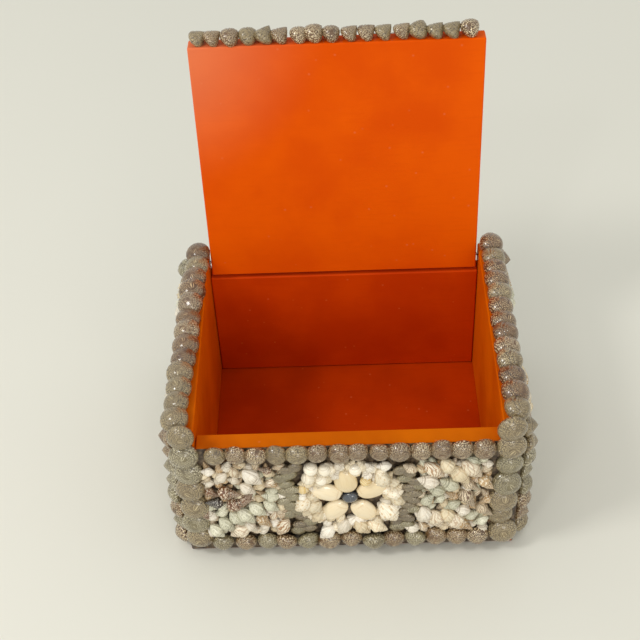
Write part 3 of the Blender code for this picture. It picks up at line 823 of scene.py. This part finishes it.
@dataclass(frozen=True)
class LaidShells:
    """Shells laid one by one where the maker put them, over smaller ones; all sizes in millimetres.

    Each entry is the kind, the place along and up the face, where the tip points in degrees, and the length.
    The bedding is a field's left, right, low and high edge, the halo a ring's middle height and two radii.
    """

    name: str
    face: Face
    nodes: tuple[str, ...]
    slot: str
    entries: tuple[tuple[Kinds, float, float, float, float], ...]
    lift: float = 0.0
    bedding: tuple[float, float, float, float] | None = None
    halo: tuple[float, float, float] | None = None
    bedding_step: tuple[float, float] = (5.2, 5.0)
    bedding_sink: float = 0.8
    halo_step: float = 5.4
    halo_sink: float = 0.6

    def build(self) -> bpy.types.Object:
        """Lays every shell flat on the face.

        Returns:
            The joined shells.
        """
        shells = [kind.laid(*entry, lift=self.lift) for kind, *entry in self.entries]
        shells += self.bedded()
        return ShellPiece(self.name, self.face, self.slot, self.nodes, shells).build()

    def bedded(self) -> list[Placed]:
        """The small shells pushed into the glue under and between the laid ones.

        Returns:
            The placed shells, none where neither a bedding nor a halo is given.
        """
        random = np.random.default_rng(SEED + len(self.entries))
        if self.halo:
            middle, inner, outer = self.halo
            pale = (Kinds.WHITE, Kinds.CREAM, Kinds.KNOBBED)
            return [
                pale[random.integers(3)].laid(radius * math.cos(angle), middle + radius * math.sin(angle),
                                              math.degrees(angle) + random.uniform(-50, 50),
                                              random.uniform(8.0, 10.0), -self.halo_sink)
                for radius in (inner, outer)
                for angle in np.arange(0.0, math.tau, self.halo_step / radius)
            ]
        if not self.bedding:
            return []
        left, right, low, high = self.bedding
        mixed = (Kinds.PALE, Kinds.CREAM, Kinds.WHITE, Kinds.BANDED, Kinds.TAN)
        shells = []
        for along in np.arange(left, right, self.bedding_step[0]):
            for up in np.arange(low, high, self.bedding_step[1]):
                kind = mixed[random.integers(len(mixed))]
                spot = (along, up) + random.uniform(-1.4, 1.4, 2)
                shells.append(kind.laid(*spot, random.uniform(0, 360), random.uniform(7.0, 9.5),
                                        -self.bedding_sink))
        return shells


@dataclass(frozen=True)
class MixedField:
    """A field of long shells in slanting rows, on the plainer faces, mixed as they came to hand."""

    name: str
    face: Face
    node: str
    length: float = 14.0
    slant_deg: float = 62.0
    margin: tuple[float, float] = (3.0, 1.4)
    spacing: tuple[float, float] = (0.52, 0.66)
    wander_deg: float = 16.0
    kinds: tuple[Kinds, ...] = (Kinds.WHITE, Kinds.PALE, Kinds.CREAM, Kinds.BANDED, Kinds.TAN,
                                Kinds.STRIPED, Kinds.WHITE, Kinds.BROWN, Kinds.PALE, Kinds.CREAM)

    def build(self) -> bpy.types.Object:
        """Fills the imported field's place with rows of shells that slant to and fro.

        Returns:
            The joined shells.
        """
        random = np.random.default_rng(SEED + sum(map(ord, self.name)))
        low, high = self.face.span(self.node)
        low, high = low / MM, high / MM
        slant = math.radians(self.slant_deg)
        half = np.array([math.cos(slant), math.sin(slant)]) * self.length / 2 + self.margin
        room = (high - low)[:2] - 2 * half
        columns, rows = np.round(room / (self.length * np.array(self.spacing))).astype(int) + 1
        shells = []
        for row in range(rows):
            up = low[1] + half[1] + room[1] * row / max(1, rows - 1)
            for column in range(columns):
                along = low[0] + half[0] + room[0] * column / max(1, columns - 1)
                kind = self.kinds[random.integers(len(self.kinds))]
                heading = self.slant_deg if row % 2 == 0 else 180 - self.slant_deg
                heading += random.uniform(-self.wander_deg, self.wander_deg)
                heading += 180 if random.random() < 0.3 else 0
                length = self.length * random.uniform(0.82, 1.02)
                shells.append(kind.laid(along, up, heading, length))
        return ShellPiece(self.name, self.face, "cream_shell", (self.node,), shells).build()


@dataclass(frozen=True)
class Sunburst:
    """A ring of long shells round the lid's flower, their tips outwards."""

    node: str
    face: Face
    count: int
    length: float
    flat: float

    def build(self) -> bpy.types.Object:
        """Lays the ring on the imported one's place.

        Returns:
            The joined shells.
        """
        random = np.random.default_rng(SEED)
        low, high = self.face.span(self.node)
        centre = (low + high) / 2 / MM
        radius = float(high[1] - low[1]) / 2 / MM - self.length / 2
        kinds = (Kinds.WHITE, Kinds.CREAM, Kinds.PALE, Kinds.BANDED, Kinds.TAN)
        shells = []
        for index in range(self.count):
            angle = math.tau * index / self.count
            along = centre[0] + radius * math.cos(angle)
            up = centre[1] + radius * math.sin(angle)
            kind = kinds[random.integers(len(kinds))]
            shells.append(kind.laid(along, up, math.degrees(angle) + random.uniform(-5, 5),
                                    self.length * random.uniform(0.93, 0.99), flat=self.flat))
        return ShellPiece(f"{self.node}_shells", self.face, "cream_shell", (self.node,), shells).build()


@dataclass(frozen=True)
class PlainFlower:
    """A flower on a plainer face: five ovals round a dark shell, in one piece."""

    node: str
    face: Face
    petal_length: float = 16.4
    petal_width: float = 10.6
    petal_height: float = 6.8
    petal_gap: float = 0.4
    heart: float = 8.0
    petals_deg: tuple[float, ...] = (90, 162, 234, 306, 18)

    def build(self) -> bpy.types.Object:
        """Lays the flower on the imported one's place.

        Returns:
            The joined shells.
        """
        low, high = self.face.span(self.node)
        across = float(low[0] + high[0]) / 2
        centre = float(high[1]) - (self.heart / 2 + self.petal_length) * MM
        out = (self.heart / 2 + self.petal_length / 2) * MM
        shells = [Placed(Forms.OVAL, Finishes.SLATE, across, centre, (1.0, 0.2, 0.1),
                         self.heart * 0.86 * MM, self.heart * 1.04 * MM, 0.0, 0.75)]
        for index, angle in enumerate(map(math.radians, self.petals_deg)):
            aside, above = math.cos(angle), math.sin(angle)
            shells.append(Placed(Forms.OVAL, Finishes.OVAL, across + out * aside, centre + out * above,
                                 (-aside, -above, 0.0), self.petal_width * MM,
                                 (self.petal_length - self.petal_gap) * MM, 0.5 * index,
                                 self.petal_height / self.petal_width))
        name = f"{self.node}_shells"
        return ShellPiece(name, self.face, "glossy_oval_shell", (self.node,), shells).build()


@dataclass(frozen=True)
class GlueFinish:
    """Carpenter's glue dried under the shells: brown, uneven, with paint showing through in places; its dark
    brown is also painted shade in the gaps between the shells.
    """

    dark: str = "#3a2d24"
    light: str = "#77654f"
    paint: str = "#8a5428"
    lump_mm: float = 2.2
    patch_mm: float = 14.286

    def make(self) -> bpy.types.Material:
        """Builds the material: lumps a few millimetres wide, satin where thick.

        Returns:
            The material.
        """
        look = Look("dried_glue_bed")
        where = look.add(Node.PLACE)
        lumps = look.add(Node.NOISE, where, scale_for(self.lump_mm), 4.0)
        patches = look.add(Node.NOISE, where, scale_for(self.patch_mm), 2.0)
        thick = look.add(Node.STEP, lumps, 0.35, 0.7)
        # The dark brown is the glue's own colour and also painted shade in the gaps between the shells
        colour = look.add(Node.MIX, thick, linear(self.dark), linear(self.light))
        bare = look.add(Node.STEP, patches, 0.62, 0.74)
        return look.finish(
            Base_Color=look.add(Node.MIX, bare, colour, linear(self.paint)),
            Normal=look.add(Node.BUMP, lumps, 0.5 * MM, 0.7),
            Roughness=look.add(Node.TIMES_PLUS, lumps, 0.4, 0.3),
            IOR=1.5,
        )


@dataclass(frozen=True)
class GlueBed:
    """The lumpy layer of glue under the shells of one face."""

    name: str
    face: Face
    nodes: tuple[str, ...]
    thickness: float = 1.6
    step: float = 2.0
    margin: float = 0.2

    def build(self, finish: bpy.types.Material) -> bpy.types.Object:
        """Spreads the glue behind the nodes of one face.

        Args:
            finish: The glue's material.

        Returns:
            The bed's object.
        """
        low, high = self.face.span(*self.nodes)
        start = low[:2] + self.margin * MM
        size = high[:2] - self.margin * MM - start
        counts = np.maximum(2, np.round(size / (self.step * MM)).astype(int))
        along = start[0] + size[0] * np.linspace(0, 1, counts[0])
        up = start[1] + size[1] * np.linspace(0, 1, counts[1])
        grid = np.stack(np.meshgrid(along, up, indexing="ij"), axis=-1)
        waves = sum(
            np.sin(grid[..., 0] * 1000 / wide + phase) * np.cos(grid[..., 1] * 1000 / tall + 2 * phase)
            for wide, tall, phase in ((2.1, 1.7, 0.3), (3.9, 3.1, 1.1), (1.3, 1.1, 2.0))
        )
        height = (0.55 + 0.15 * waves) * self.thickness * MM
        height[[0, -1], :] = -0.1 * MM
        height[:, [0, -1]] = -0.1 * MM
        matrix = self.face.matrix
        spots = zip(grid.reshape(-1, 2), height.reshape(-1))
        points = [matrix @ Vector((*spot, lift)) for spot, lift in spots]
        faces = grid_quads(*counts)
        mesh = bpy.data.meshes.new(self.name)
        mesh.from_pydata(points, [], faces.tolist())
        mesh.shade_smooth()
        mesh.materials.append(finish)
        piece = linked(self.name, mesh)
        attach(piece, self.face.body)
        LOG.info("%s: %d faces", self.name, len(faces))
        return piece


@dataclass(frozen=True)
class PaintFinish:
    """Alkyd enamel brushed on plywood in one coat: flat orange with faint streaks, and a painted glare of
    light near one corner.
    """

    name: str
    colour: str
    deep: str
    brush_mm: float = 1.6
    cloud_mm: float = 45.455
    speck_mm: float = 9.0909
    along: tuple[float, float, float] = (0.12, 1.0, 1.0)
    # Pale pink of the specks of dust and of the painted glare
    dust_and_glare: str = "#e88a62"
    glare_at: tuple[float, float, float] = (-0.10, 0.08, 0.23)
    glare_reach: float = 0.0

    def make(self) -> bpy.types.Material:
        """Builds the material: brush streaks, clouds of thin and thick paint, specks of dust and, where it
        is asked for, a painted glare near one corner.

        Returns:
            The material.
        """
        look = Look(self.name)
        where = look.add(Node.PLACE)
        drawn = look.add(Node.STRETCH, where, self.along)
        streaks = look.add(Node.NOISE, drawn, scale_for(self.brush_mm), 3.0)
        clouds = look.add(Node.NOISE, where, scale_for(self.cloud_mm), 4.0)
        specks = look.add(Node.CELLS, where, scale_for(self.speck_mm))
        uneven = look.add(Node.STEP, clouds, 0.35, 0.70)
        colour = look.add(Node.MIX, uneven, linear(self.colour), linear(self.deep))
        thick = look.add(Node.TIMES, look.add(Node.STEP, streaks, 0.50, 0.72), 0.22)
        colour = look.add(Node.MIX, thick, colour, linear(self.deep))
        dust = look.add(Node.TIMES, look.add(Node.STEP, specks, 0.10, 0.04), 0.18)
        colour = look.add(Node.MIX, dust, colour, linear(self.dust_and_glare))
        # Painted glare: a pale pink wash of light laid on the paint, strongest at one point and fading out
        # within the reach
        if self.glare_reach:
            far = look.add(Node.DISTANCE, where, self.glare_at)
            painted_glare = look.add(Node.TIMES, look.add(Node.STEP, far, self.glare_reach, 0.0), 0.75)
            colour = look.add(Node.MIX, painted_glare, colour, linear(self.dust_and_glare))
        # Old flat enamel throws back little white light, or its orange would look milky
        return look.finish(
            Base_Color=colour,
            Normal=look.add(Node.BUMP, streaks, 0.2 * MM, 0.25),
            Roughness=look.add(Node.TIMES_PLUS, clouds, 0.2, 0.42),
            Specular_IOR_Level=0.05,
            IOR=1.5,
        )


@dataclass(frozen=True)
class NailFinish:
    """Drawn steel wire, cut off and a little rusty: dull grey metal with brown rust in spots."""

    steel: str = "#b9b4ab"
    rust: str = "#7a4326"
    spot_mm: float = 0.71429

    def make(self) -> bpy.types.Material:
        """Builds the material: bare metal, with rust in spots.

        Returns:
            The material.
        """
        look = Look("drawn_steel_nail")
        rust = look.add(Node.NOISE, look.add(Node.PLACE), scale_for(self.spot_mm), 4.0)
        spots = look.add(Node.STEP, rust, 0.48, 0.62)
        return look.finish(
            Base_Color=look.add(Node.MIX, spots, linear(self.steel), linear(self.rust)),
            Metallic=look.add(Node.TIMES_PLUS, spots, -0.8, 1.0),
            Roughness=look.add(Node.TIMES_PLUS, spots, 0.4, 0.35),
            Normal=look.add(Node.BUMP, rust, 0.05 * MM, 0.4),
        )


@dataclass(frozen=True)
class Boards:
    """The six painted boards and the two nails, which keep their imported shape."""

    upright: ClassVar[tuple[float, float, float]] = (0.12, 0.12, 1.0)
    # The same orange enamel in five colours, one for each board, standing in for how the light falls on it:
    # the floor and back wall are painted darker and redder as painted shade inside the box, and the sides
    # and lid are painted lighter as painted light
    coats: tuple[tuple[PaintFinish | NailFinish, tuple[str, ...]], ...] = (
        (PaintFinish("brushed_orange_enamel_sides", "#dd6c00", "#c95800", along=upright),
         ("left_wall", "right_wall")),
        (PaintFinish("brushed_orange_enamel_front", "#cd6600", "#bd5800", along=upright), ("front_wall",)),
        (PaintFinish("brushed_orange_enamel_back", "#d24400", "#c23800", along=upright), ("back_wall",)),
        (PaintFinish("brushed_orange_enamel_floor", "#c03c00", "#ae3200"), ("floor_board",)),
        # The lid gets the painted glare near one corner
        (PaintFinish("brushed_orange_enamel_lid", "#e85a00", "#dc4e00", glare_reach=0.10), ("lid_board",)),
        (NailFinish(), ("hinge_nail_left", "hinge_nail_right")),
    )

    def dress(self, nodes: dict[str, bpy.types.Object]) -> None:
        """Paints the boards and leaves the nails bare.

        Args:
            nodes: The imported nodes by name.
        """
        for coat, names in self.coats:
            finish = coat.make()
            for name in names:
                mesh = nodes[name].data
                mesh.materials.clear()
                mesh.materials.append(finish)
                LOG.info("%s: %s", name, finish.name)


@dataclass(frozen=True)
class Studio:
    """The pale floor, the soft light and the camera, which aren't part of the box."""

    camera_at: tuple[float, float, float] = (0.0023, -0.4819, 0.5522)
    pitch_deg: float = 43.23
    yaw_deg: float = -1.80
    roll_deg: float = -2.96
    lens_mm: float = 72.0
    sensor_mm: float = 36.0
    floor_colour: str = "#e4e2d9"
    floor_size: float = 12.0
    mottle_mm: float = 333.333
    room_colour: str = "#f6f7f1"
    room_strength: float = 0.84
    aim: tuple[float, float, float] = (0.0, 0.0, 0.06)

    def build_floor(self) -> None:
        """A wide pale table top, faintly mottled."""
        half = self.floor_size / 2
        mesh = bpy.data.meshes.new("studio_floor")
        corners = [(-half, -half, 0), (half, -half, 0), (half, half, 0), (-half, half, 0)]
        mesh.from_pydata(corners, [], [(0, 1, 2, 3)])
        look = Look("studio_floor_paper")
        clouds = look.add(Node.NOISE, look.add(Node.PLACE), scale_for(self.mottle_mm), 2.0)
        pale = linear(self.floor_colour)
        dull = (*(part * 0.95 for part in pale[:3]), 1.0)
        mesh.materials.append(look.finish(Base_Color=look.add(Node.MIX, clouds, pale, dull), Roughness=0.75))
        linked("studio_floor", mesh)

    def add_light(self, name: str, place: tuple[float, float, float], size: float, watts: float,
                  colour: str) -> None:
        """A square soft light that looks at the box.

        Args:
            name: Its name.
            place: Where it hangs, in metres.
            size: Its side, in metres.
            watts: Its power.
            colour: Its colour.
        """
        light = bpy.data.lights.new(name, "AREA")
        light.shape = "SQUARE"
        light.size = size
        light.energy = watts
        light.color = linear(colour)[:3]
        lamp = linked(name, light)
        lamp.location = place
        lamp.rotation_euler = (Vector(place) - Vector(self.aim)).to_track_quat("Z", "Y").to_euler()

    def build_light(self) -> None:
        """A window's soft light from the upper left, and a pale room round it."""
        self.add_light("window_light", (-0.75, -0.35, 1.05), 0.26, 4.3, "#fffdf8")
        self.add_light("room_light", (0.35, -1.5, 0.55), 0.50, 4.0, "#fffaf2")
        self.add_light("lamp_glint", (-0.35, -0.75, 0.95), 0.10, 0.8, "#ffffff")
        world = bpy.data.worlds.new("pale_room")
        world.use_nodes = True
        sky = world.node_tree.nodes["Background"]
        sky.inputs["Color"].default_value = linear(self.room_colour)
        sky.inputs["Strength"].default_value = self.room_strength
        bpy.context.scene.world = world

    def build_camera(self) -> None:
        """The camera above and in front of the box, as the photograph was taken."""
        pitch, yaw, roll = map(math.radians, (self.pitch_deg, self.yaw_deg, self.roll_deg))
        level = math.cos(pitch)
        ahead = Vector((math.sin(yaw) * level, math.cos(yaw) * level, -math.sin(pitch)))
        right = Vector((math.cos(yaw), -math.sin(yaw), 0.0))
        top = right.cross(ahead)
        turned_right = math.cos(roll) * right + math.sin(roll) * top
        turned_top = math.cos(roll) * top - math.sin(roll) * right
        data = bpy.data.cameras.new("camera")
        data.lens = self.lens_mm
        data.sensor_width = self.sensor_mm
        data.sensor_fit = "HORIZONTAL"
        data.clip_start = 0.02
        camera = linked("camera", data)
        turn = Matrix((turned_right, turned_top, -ahead)).transposed().to_4x4()
        camera.matrix_world = Matrix.Translation(self.camera_at) @ turn
        bpy.context.scene.camera = camera

    def build(self) -> None:
        """Sets up floor, light and camera."""
        self.build_floor()
        self.build_light()
        self.build_camera()
        bpy.context.scene.view_settings.view_transform = "Standard"


# What lies on the front: kind, along, up, where the tip points, length
W, P, C, B, F = Kinds.WHITE, Kinds.PALE, Kinds.CREAM, Kinds.BANDED, Kinds.FAN
T, S, N, D = Kinds.TAN, Kinds.STRIPED, Kinds.BROWN, Kinds.DARK
R, Y, K = Kinds.ROUND, Kinds.YELLOW, Kinds.KNOBBED

LEFT_FIELD = (
    (W, -70, 67, 168, 7.5), (W, -64, 62.5, -140, 9), (W, -58, 60, 156, 7), (W, -51, 54, -39, 10),
    (B, -57, 66, -61, 9), (B, -35, 69, -161, 7), (B, -40, 57, -137, 7.5), (T, -55, 70, 151, 5.5),
    (W, -48, 63.5, -47, 13.5), (N, -42, 67, 158, 8), (S, -72, 60, -145, 7), (N, -69, 50.5, -31, 9),
    (N, -60, 51.5, -10, 13), (N, -52, 47, 46, 10.5), (D, -69, 43.5, 172, 10), (N, -55.5, 44, 23, 15),
    (P, -40, 47.5, 165, 10), (P, -47, 38.5, -46, 12.5), (P, -40, 40, -42, 10.5), (P, -53, 33.5, -53, 14),
    (P, -58, 31, -55, 12), (P, -63.5, 26.5, -49, 12), (P, -69, 21, -53, 11.5), (P, -39, 51, 170, 7),
    (N, -74, 33.5, -70, 9.5), (S, -69.5, 30.5, -158, 5), (S, -37, 35, 135, 7), (T, -44, 28, -51, 12),
    (F, -57.5, 21, -145, 13), (W, -51.5, 23.5, -47, 9.5), (W, -44.5, 23, -139, 8), (B, -35, 23, -118, 13),
)
RIGHT_FIELD = (
    (B, 30, 66, 139, 9.5), (B, 42, 65, -43, 14), (B, 60.5, 65, -47, 15), (T, 36, 65.5, 138, 8),
    (T, 68.5, 53.5, -49, 12), (T, 51.5, 44.5, 145, 9), (T, 68, 39, -147, 9), (T, 58.5, 21, -41, 12.5),
    (T, 39, 18.5, -13, 6), (C, 49, 67.5, -56, 12.5), (C, 55, 61, -54, 15.5), (C, 50, 28.5, -60, 13),
    (W, 68, 67, 169, 6.5), (W, 39, 57, 157, 13), (W, 56.5, 33.5, 153, 10.5), (W, 38, 30, -74, 13),
    (W, 36, 29, 138, 10), (W, 31, 20, 155, 10), (P, 49.5, 54.5, 141, 13), (P, 43, 50, 150, 11.5),
    (P, 39, 42, 51, 10.5), (P, 45, 41, -141, 8), (P, 51.5, 37, -153, 10), (P, 62, 28.5, 33, 9.5),
    (P, 66.5, 23.5, -155, 9.5), (S, 61, 51.5, -37, 11), (S, 59.5, 42.5, -61, 15),
    (S, 68.5, 32.5, -44, 12.5), (F, 44, 26.5, -72, 14), (F, 54, 24, -65, 14),
)
FLOWER_RING = (
    (R, -19, 68, 80, 7.5), (R, -12, 67, 100, 7), (R, -20.5, 61, 160, 7), (R, -14, 59.5, 120, 6.5),
    (Y, -23.5, 52, 170, 5.7), (Y, 8, 57, 60, 6), (W, -5, 69, 41, 7.5), (W, 10, 67.5, 122, 8.5),
    (W, 17, 68, 178, 8.5), (R, 3, 67, 90, 7), (W, -12.5, 18, -130, 12), (W, -4, 22, -115, 12),
    (K, -24, 41, -132, 11.5), (K, -19, 39, -146, 11), (K, 16.5, 59, -63, 12), (K, 22.5, 48, 22, 10),
    (K, 19.5, 33, -59, 16), (C, -17, 31, -124, 11), (C, 6, 21.5, -49, 12.5), (C, 14, 22, -30, 12),
)


# The middles of the worn shells in the two curved lines, along and up the front
CURVED_LINES = {
    "left": ((-27, 67.5), (-31.5, 66), (-30, 62), (-34, 59.5), (-31.5, 55.5), (-28.5, 51.5), (-32.5, 49),
             (-29, 45), (-33, 42), (-30, 38), (-27, 34.5), (-30.5, 31), (-25.5, 29), (-21, 25), (-26, 23.5),
             (-21.5, 19.5), (-27, 18.5)),
    "right": ((25.5, 64), (29, 61.5), (27.5, 57.5), (32, 55.5), (34.5, 51.5), (30, 50), (32.5, 46.5),
              (28.5, 43.5), (32, 40), (29, 36.5), (31.5, 33), (27, 31), (28.5, 26.5), (24.5, 23.5), (29, 21),
              (24, 18.5)),
}


@dataclass(frozen=True)
class CurvedLine:
    """A curved line of thin worn shells that lean out at the top, as if pushed over each other."""

    side: str
    face: Face
    widths: tuple[float, float] = (8.2, 9.2)
    thickness: float = 4.2
    lean: float = -0.38

    def build(self, random: np.random.Generator) -> bpy.types.Object:
        """Pushes each shell into the glue on its place.

        Args:
            random: The generator that both lines draw from.

        Returns:
            The joined shells.
        """
        finishes = (Finishes.SCALE, Finishes.MOSSY)
        shells = [
            Placed(Forms.SCALE, finishes[random.integers(2)], along * MM, up * MM,
                   (random.normal(0, 0.15), random.normal(self.lean, 0.12), 1.0),
                   random.uniform(*self.widths) * MM, self.thickness * MM, along + up, 1.0,
                   random.uniform(0.2, 0.9) * MM)
            for along, up in CURVED_LINES[self.side]
        ]
        nodes = (f"front_{self.side}_divider",)
        return ShellPiece(f"{self.side}_curved_line", self.face, "speckled_shell", nodes, shells).build()


def make_faces(frame: dict) -> dict[str, Face]:
    """The sides of the boards that carry shells, each with its own frame.


    Returns:
        The faces by name.
    """
    nodes = frame["nodes"]
    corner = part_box("right_wall")[1]
    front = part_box("front_wall")[0].y
    hinge = Matrix.Translation(frame["joints"][0]["pos_m"])
    lid = hinge @ Matrix.Rotation(-math.radians(LID_OPEN_DEG), 4, "X")
    low, high = Face(nodes, (0, 0, 0), up=(0, 1, 0), place=lid).span("lid_board")
    return {
        "front": Face(nodes, (0.0, front, 0.0)),
        "back": Face(nodes, (0.0, -front, 0.0), (-1, 0, 0)),
        "left": Face(nodes, (-corner.x, 0.0, 0.0), (0, -1, 0)),
        "right": Face(nodes, (corner.x, 0.0, 0.0), (0, 1, 0)),
        "left_rim": Face(nodes, (-corner.x, 0.0, corner.z), (0, 1, 0), (-1, 0, 0)),
        "right_rim": Face(nodes, (corner.x, 0.0, corner.z), (0, -1, 0), (1, 0, 0)),
        "lid": Face(nodes, (0.0, 0.0, high[2]), up=(0, 1, 0), body="lid", place=lid),
        "lid_edge": Face(nodes, (0.0, low[1], low[2]), body="lid", place=lid),
    }


def build_lines(faces: dict[str, Face]) -> None:
    """Every row, column, border and rim of round shells.

    Args:
        faces: The faces by name.
    """
    brown = (Finishes.SPECKLED, Finishes.BUTTON, Finishes.SPECKLED, Finishes.SPECKLED)
    worn = (Finishes.WORN, Finishes.WORN, Finishes.SPECKLED, Finishes.BUTTON)
    mossy = (Finishes.MOSSY, Finishes.SPECKLED, Finishes.MOSSY)
    button = (Finishes.BUTTON, Finishes.BUTTON, Finishes.MOSSY)
    domes, turbans = (Forms.DOME, Forms.TOP), (Forms.TURBAN, Forms.TOP)
    front = faces["front"]
    lines = [
        ShellLine("front_top_row", front, domes, brown, 14, (0, -0.12, 1), 11.8, 7.8,
                  shift=(0.0, -0.2), stretch=0.6),
        ShellLine("front_bottom_row", front, turbans, mossy, 13, (0, -0.4, 1), 12.4, 8.6,
                  shift=(0.0, -0.4), stretch=1.8, sink_mm=0.5),
        ShellLine("front_left_column", front, domes, button, 7, (-0.08, 0.28, 1), 14.8, 9.4,
                  shift=(-0.8, -0.8), wander_mm=0.5, sink_mm=1.2, flat=0.78, slant_mm=-2.4),
        ShellLine("front_right_column", front, domes, button, 7, (0.08, 0.28, 1), 14.8, 9.4,
                  shift=(-1.4, -0.8), wander_mm=0.5, sink_mm=1.2, flat=0.78, slant_mm=3.6),
        ShellLine("left_rim_shells", faces["left_rim"], domes[::-1], worn, 13, (-0.35, 0.2, 1), 14.4, 8.6,
                  slant_mm=-3.6),
        ShellLine("right_rim_shells", faces["right_rim"], turbans, worn, 13, (0.1, 0.7, 0.8), 14.8, 12.0,
                  flat=0.9, sink_mm=0.8),
        ShellLine("lid_edge_row", faces["lid_edge"], (Forms.CONE, Forms.TURBAN, Forms.CONE), brown, 17,
                  (0.8, 0.35, 0.65), 10.0, 9.4, shift=(-0.6, 1.0), stretch=2.6, sink_mm=1.7),
    ]
    # The sides that the photograph doesn't show have plainer lines, as many shells as fit
    width, pitch = 12.6, 11.6
    plain = {
        "left": ("back_column", "front_column", "bottom_row"),
        "right": ("back_column", "front_column", "bottom_row"),
        "back": ("left_column", "right_column", "top_row", "bottom_row"),
        "lid": ("left_border", "right_border", "back_border", "front_border"),
    }
    for side, places in plain.items():
        for place in places:
            name, face = f"{side}_{place}", faces[side]
            low, high = face.span(name)
            run = float(max(high[0] - low[0], high[1] - low[1])) / MM
            count = round((run - width + 0.5) / pitch) + 1
            lines.append(ShellLine(name, face, (Forms.TURBAN, Forms.CONE), brown + mossy, count, (0, 0, 1),
                                   width, 8.8))
    for line in lines:
        line.build()


def build_fields(faces: dict[str, Face]) -> None:
    """The flowers, rings, curved lines and fields of long shells.

    Args:
        faces: The faces by name.
    """
    front = faces["front"]
    Petals("front", front).build()
    LaidShells("flower_ring", front, ("front_flower_ring",), "white_shell", FLOWER_RING, 0.8,
               halo=(44.0, 19.5, 24.5)).build()
    LaidShells("left_field_shells", front, ("front_left_field",), "cream_shell", LEFT_FIELD, 0.9,
               bedding=(-71, -34, 18, 71)).build()
    LaidShells("right_field_shells", front, ("front_right_field",), "cream_shell", RIGHT_FIELD, 0.9,
               bedding=(36.5, 72, 18, 71)).build()
    random = np.random.default_rng(SEED)
    for side in CURVED_LINES:
        CurvedLine(side, front).build(random)
    for side in ("left", "right"):
        face = faces[side]
        PlainFlower(f"{side}_flower", face).build()
        MixedField(f"{side}_back_field_shells", face, f"{side}_back_field").build()
        MixedField(f"{side}_front_field_shells", face, f"{side}_front_field").build()
    MixedField("back_field_shells", faces["back"], "back_field").build()
    Petals("lid", faces["lid"]).build()
    Sunburst("lid_sunburst", faces["lid"], 20, 24.0, 0.56).build()


def main() -> None:
    """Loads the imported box, dresses it piece by piece and sets the stage."""
    logging.basicConfig(level=logging.INFO, format="%(message)s")
    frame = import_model()
    Studio().build()
    Boards().dress(frame["nodes"])
    faces = make_faces(frame)
    build_lines(faces)
    build_fields(faces)
    glue = GlueFinish().make()
    for side in ("front", "left", "right", "back"):
        GlueBed(f"{side}_glue", faces[side], (f"{side}_wall", "floor_board")).build(glue)
    GlueBed("lid_glue", faces["lid"], ("lid_board",)).build(glue)


if __name__ == "__main__":
    main()
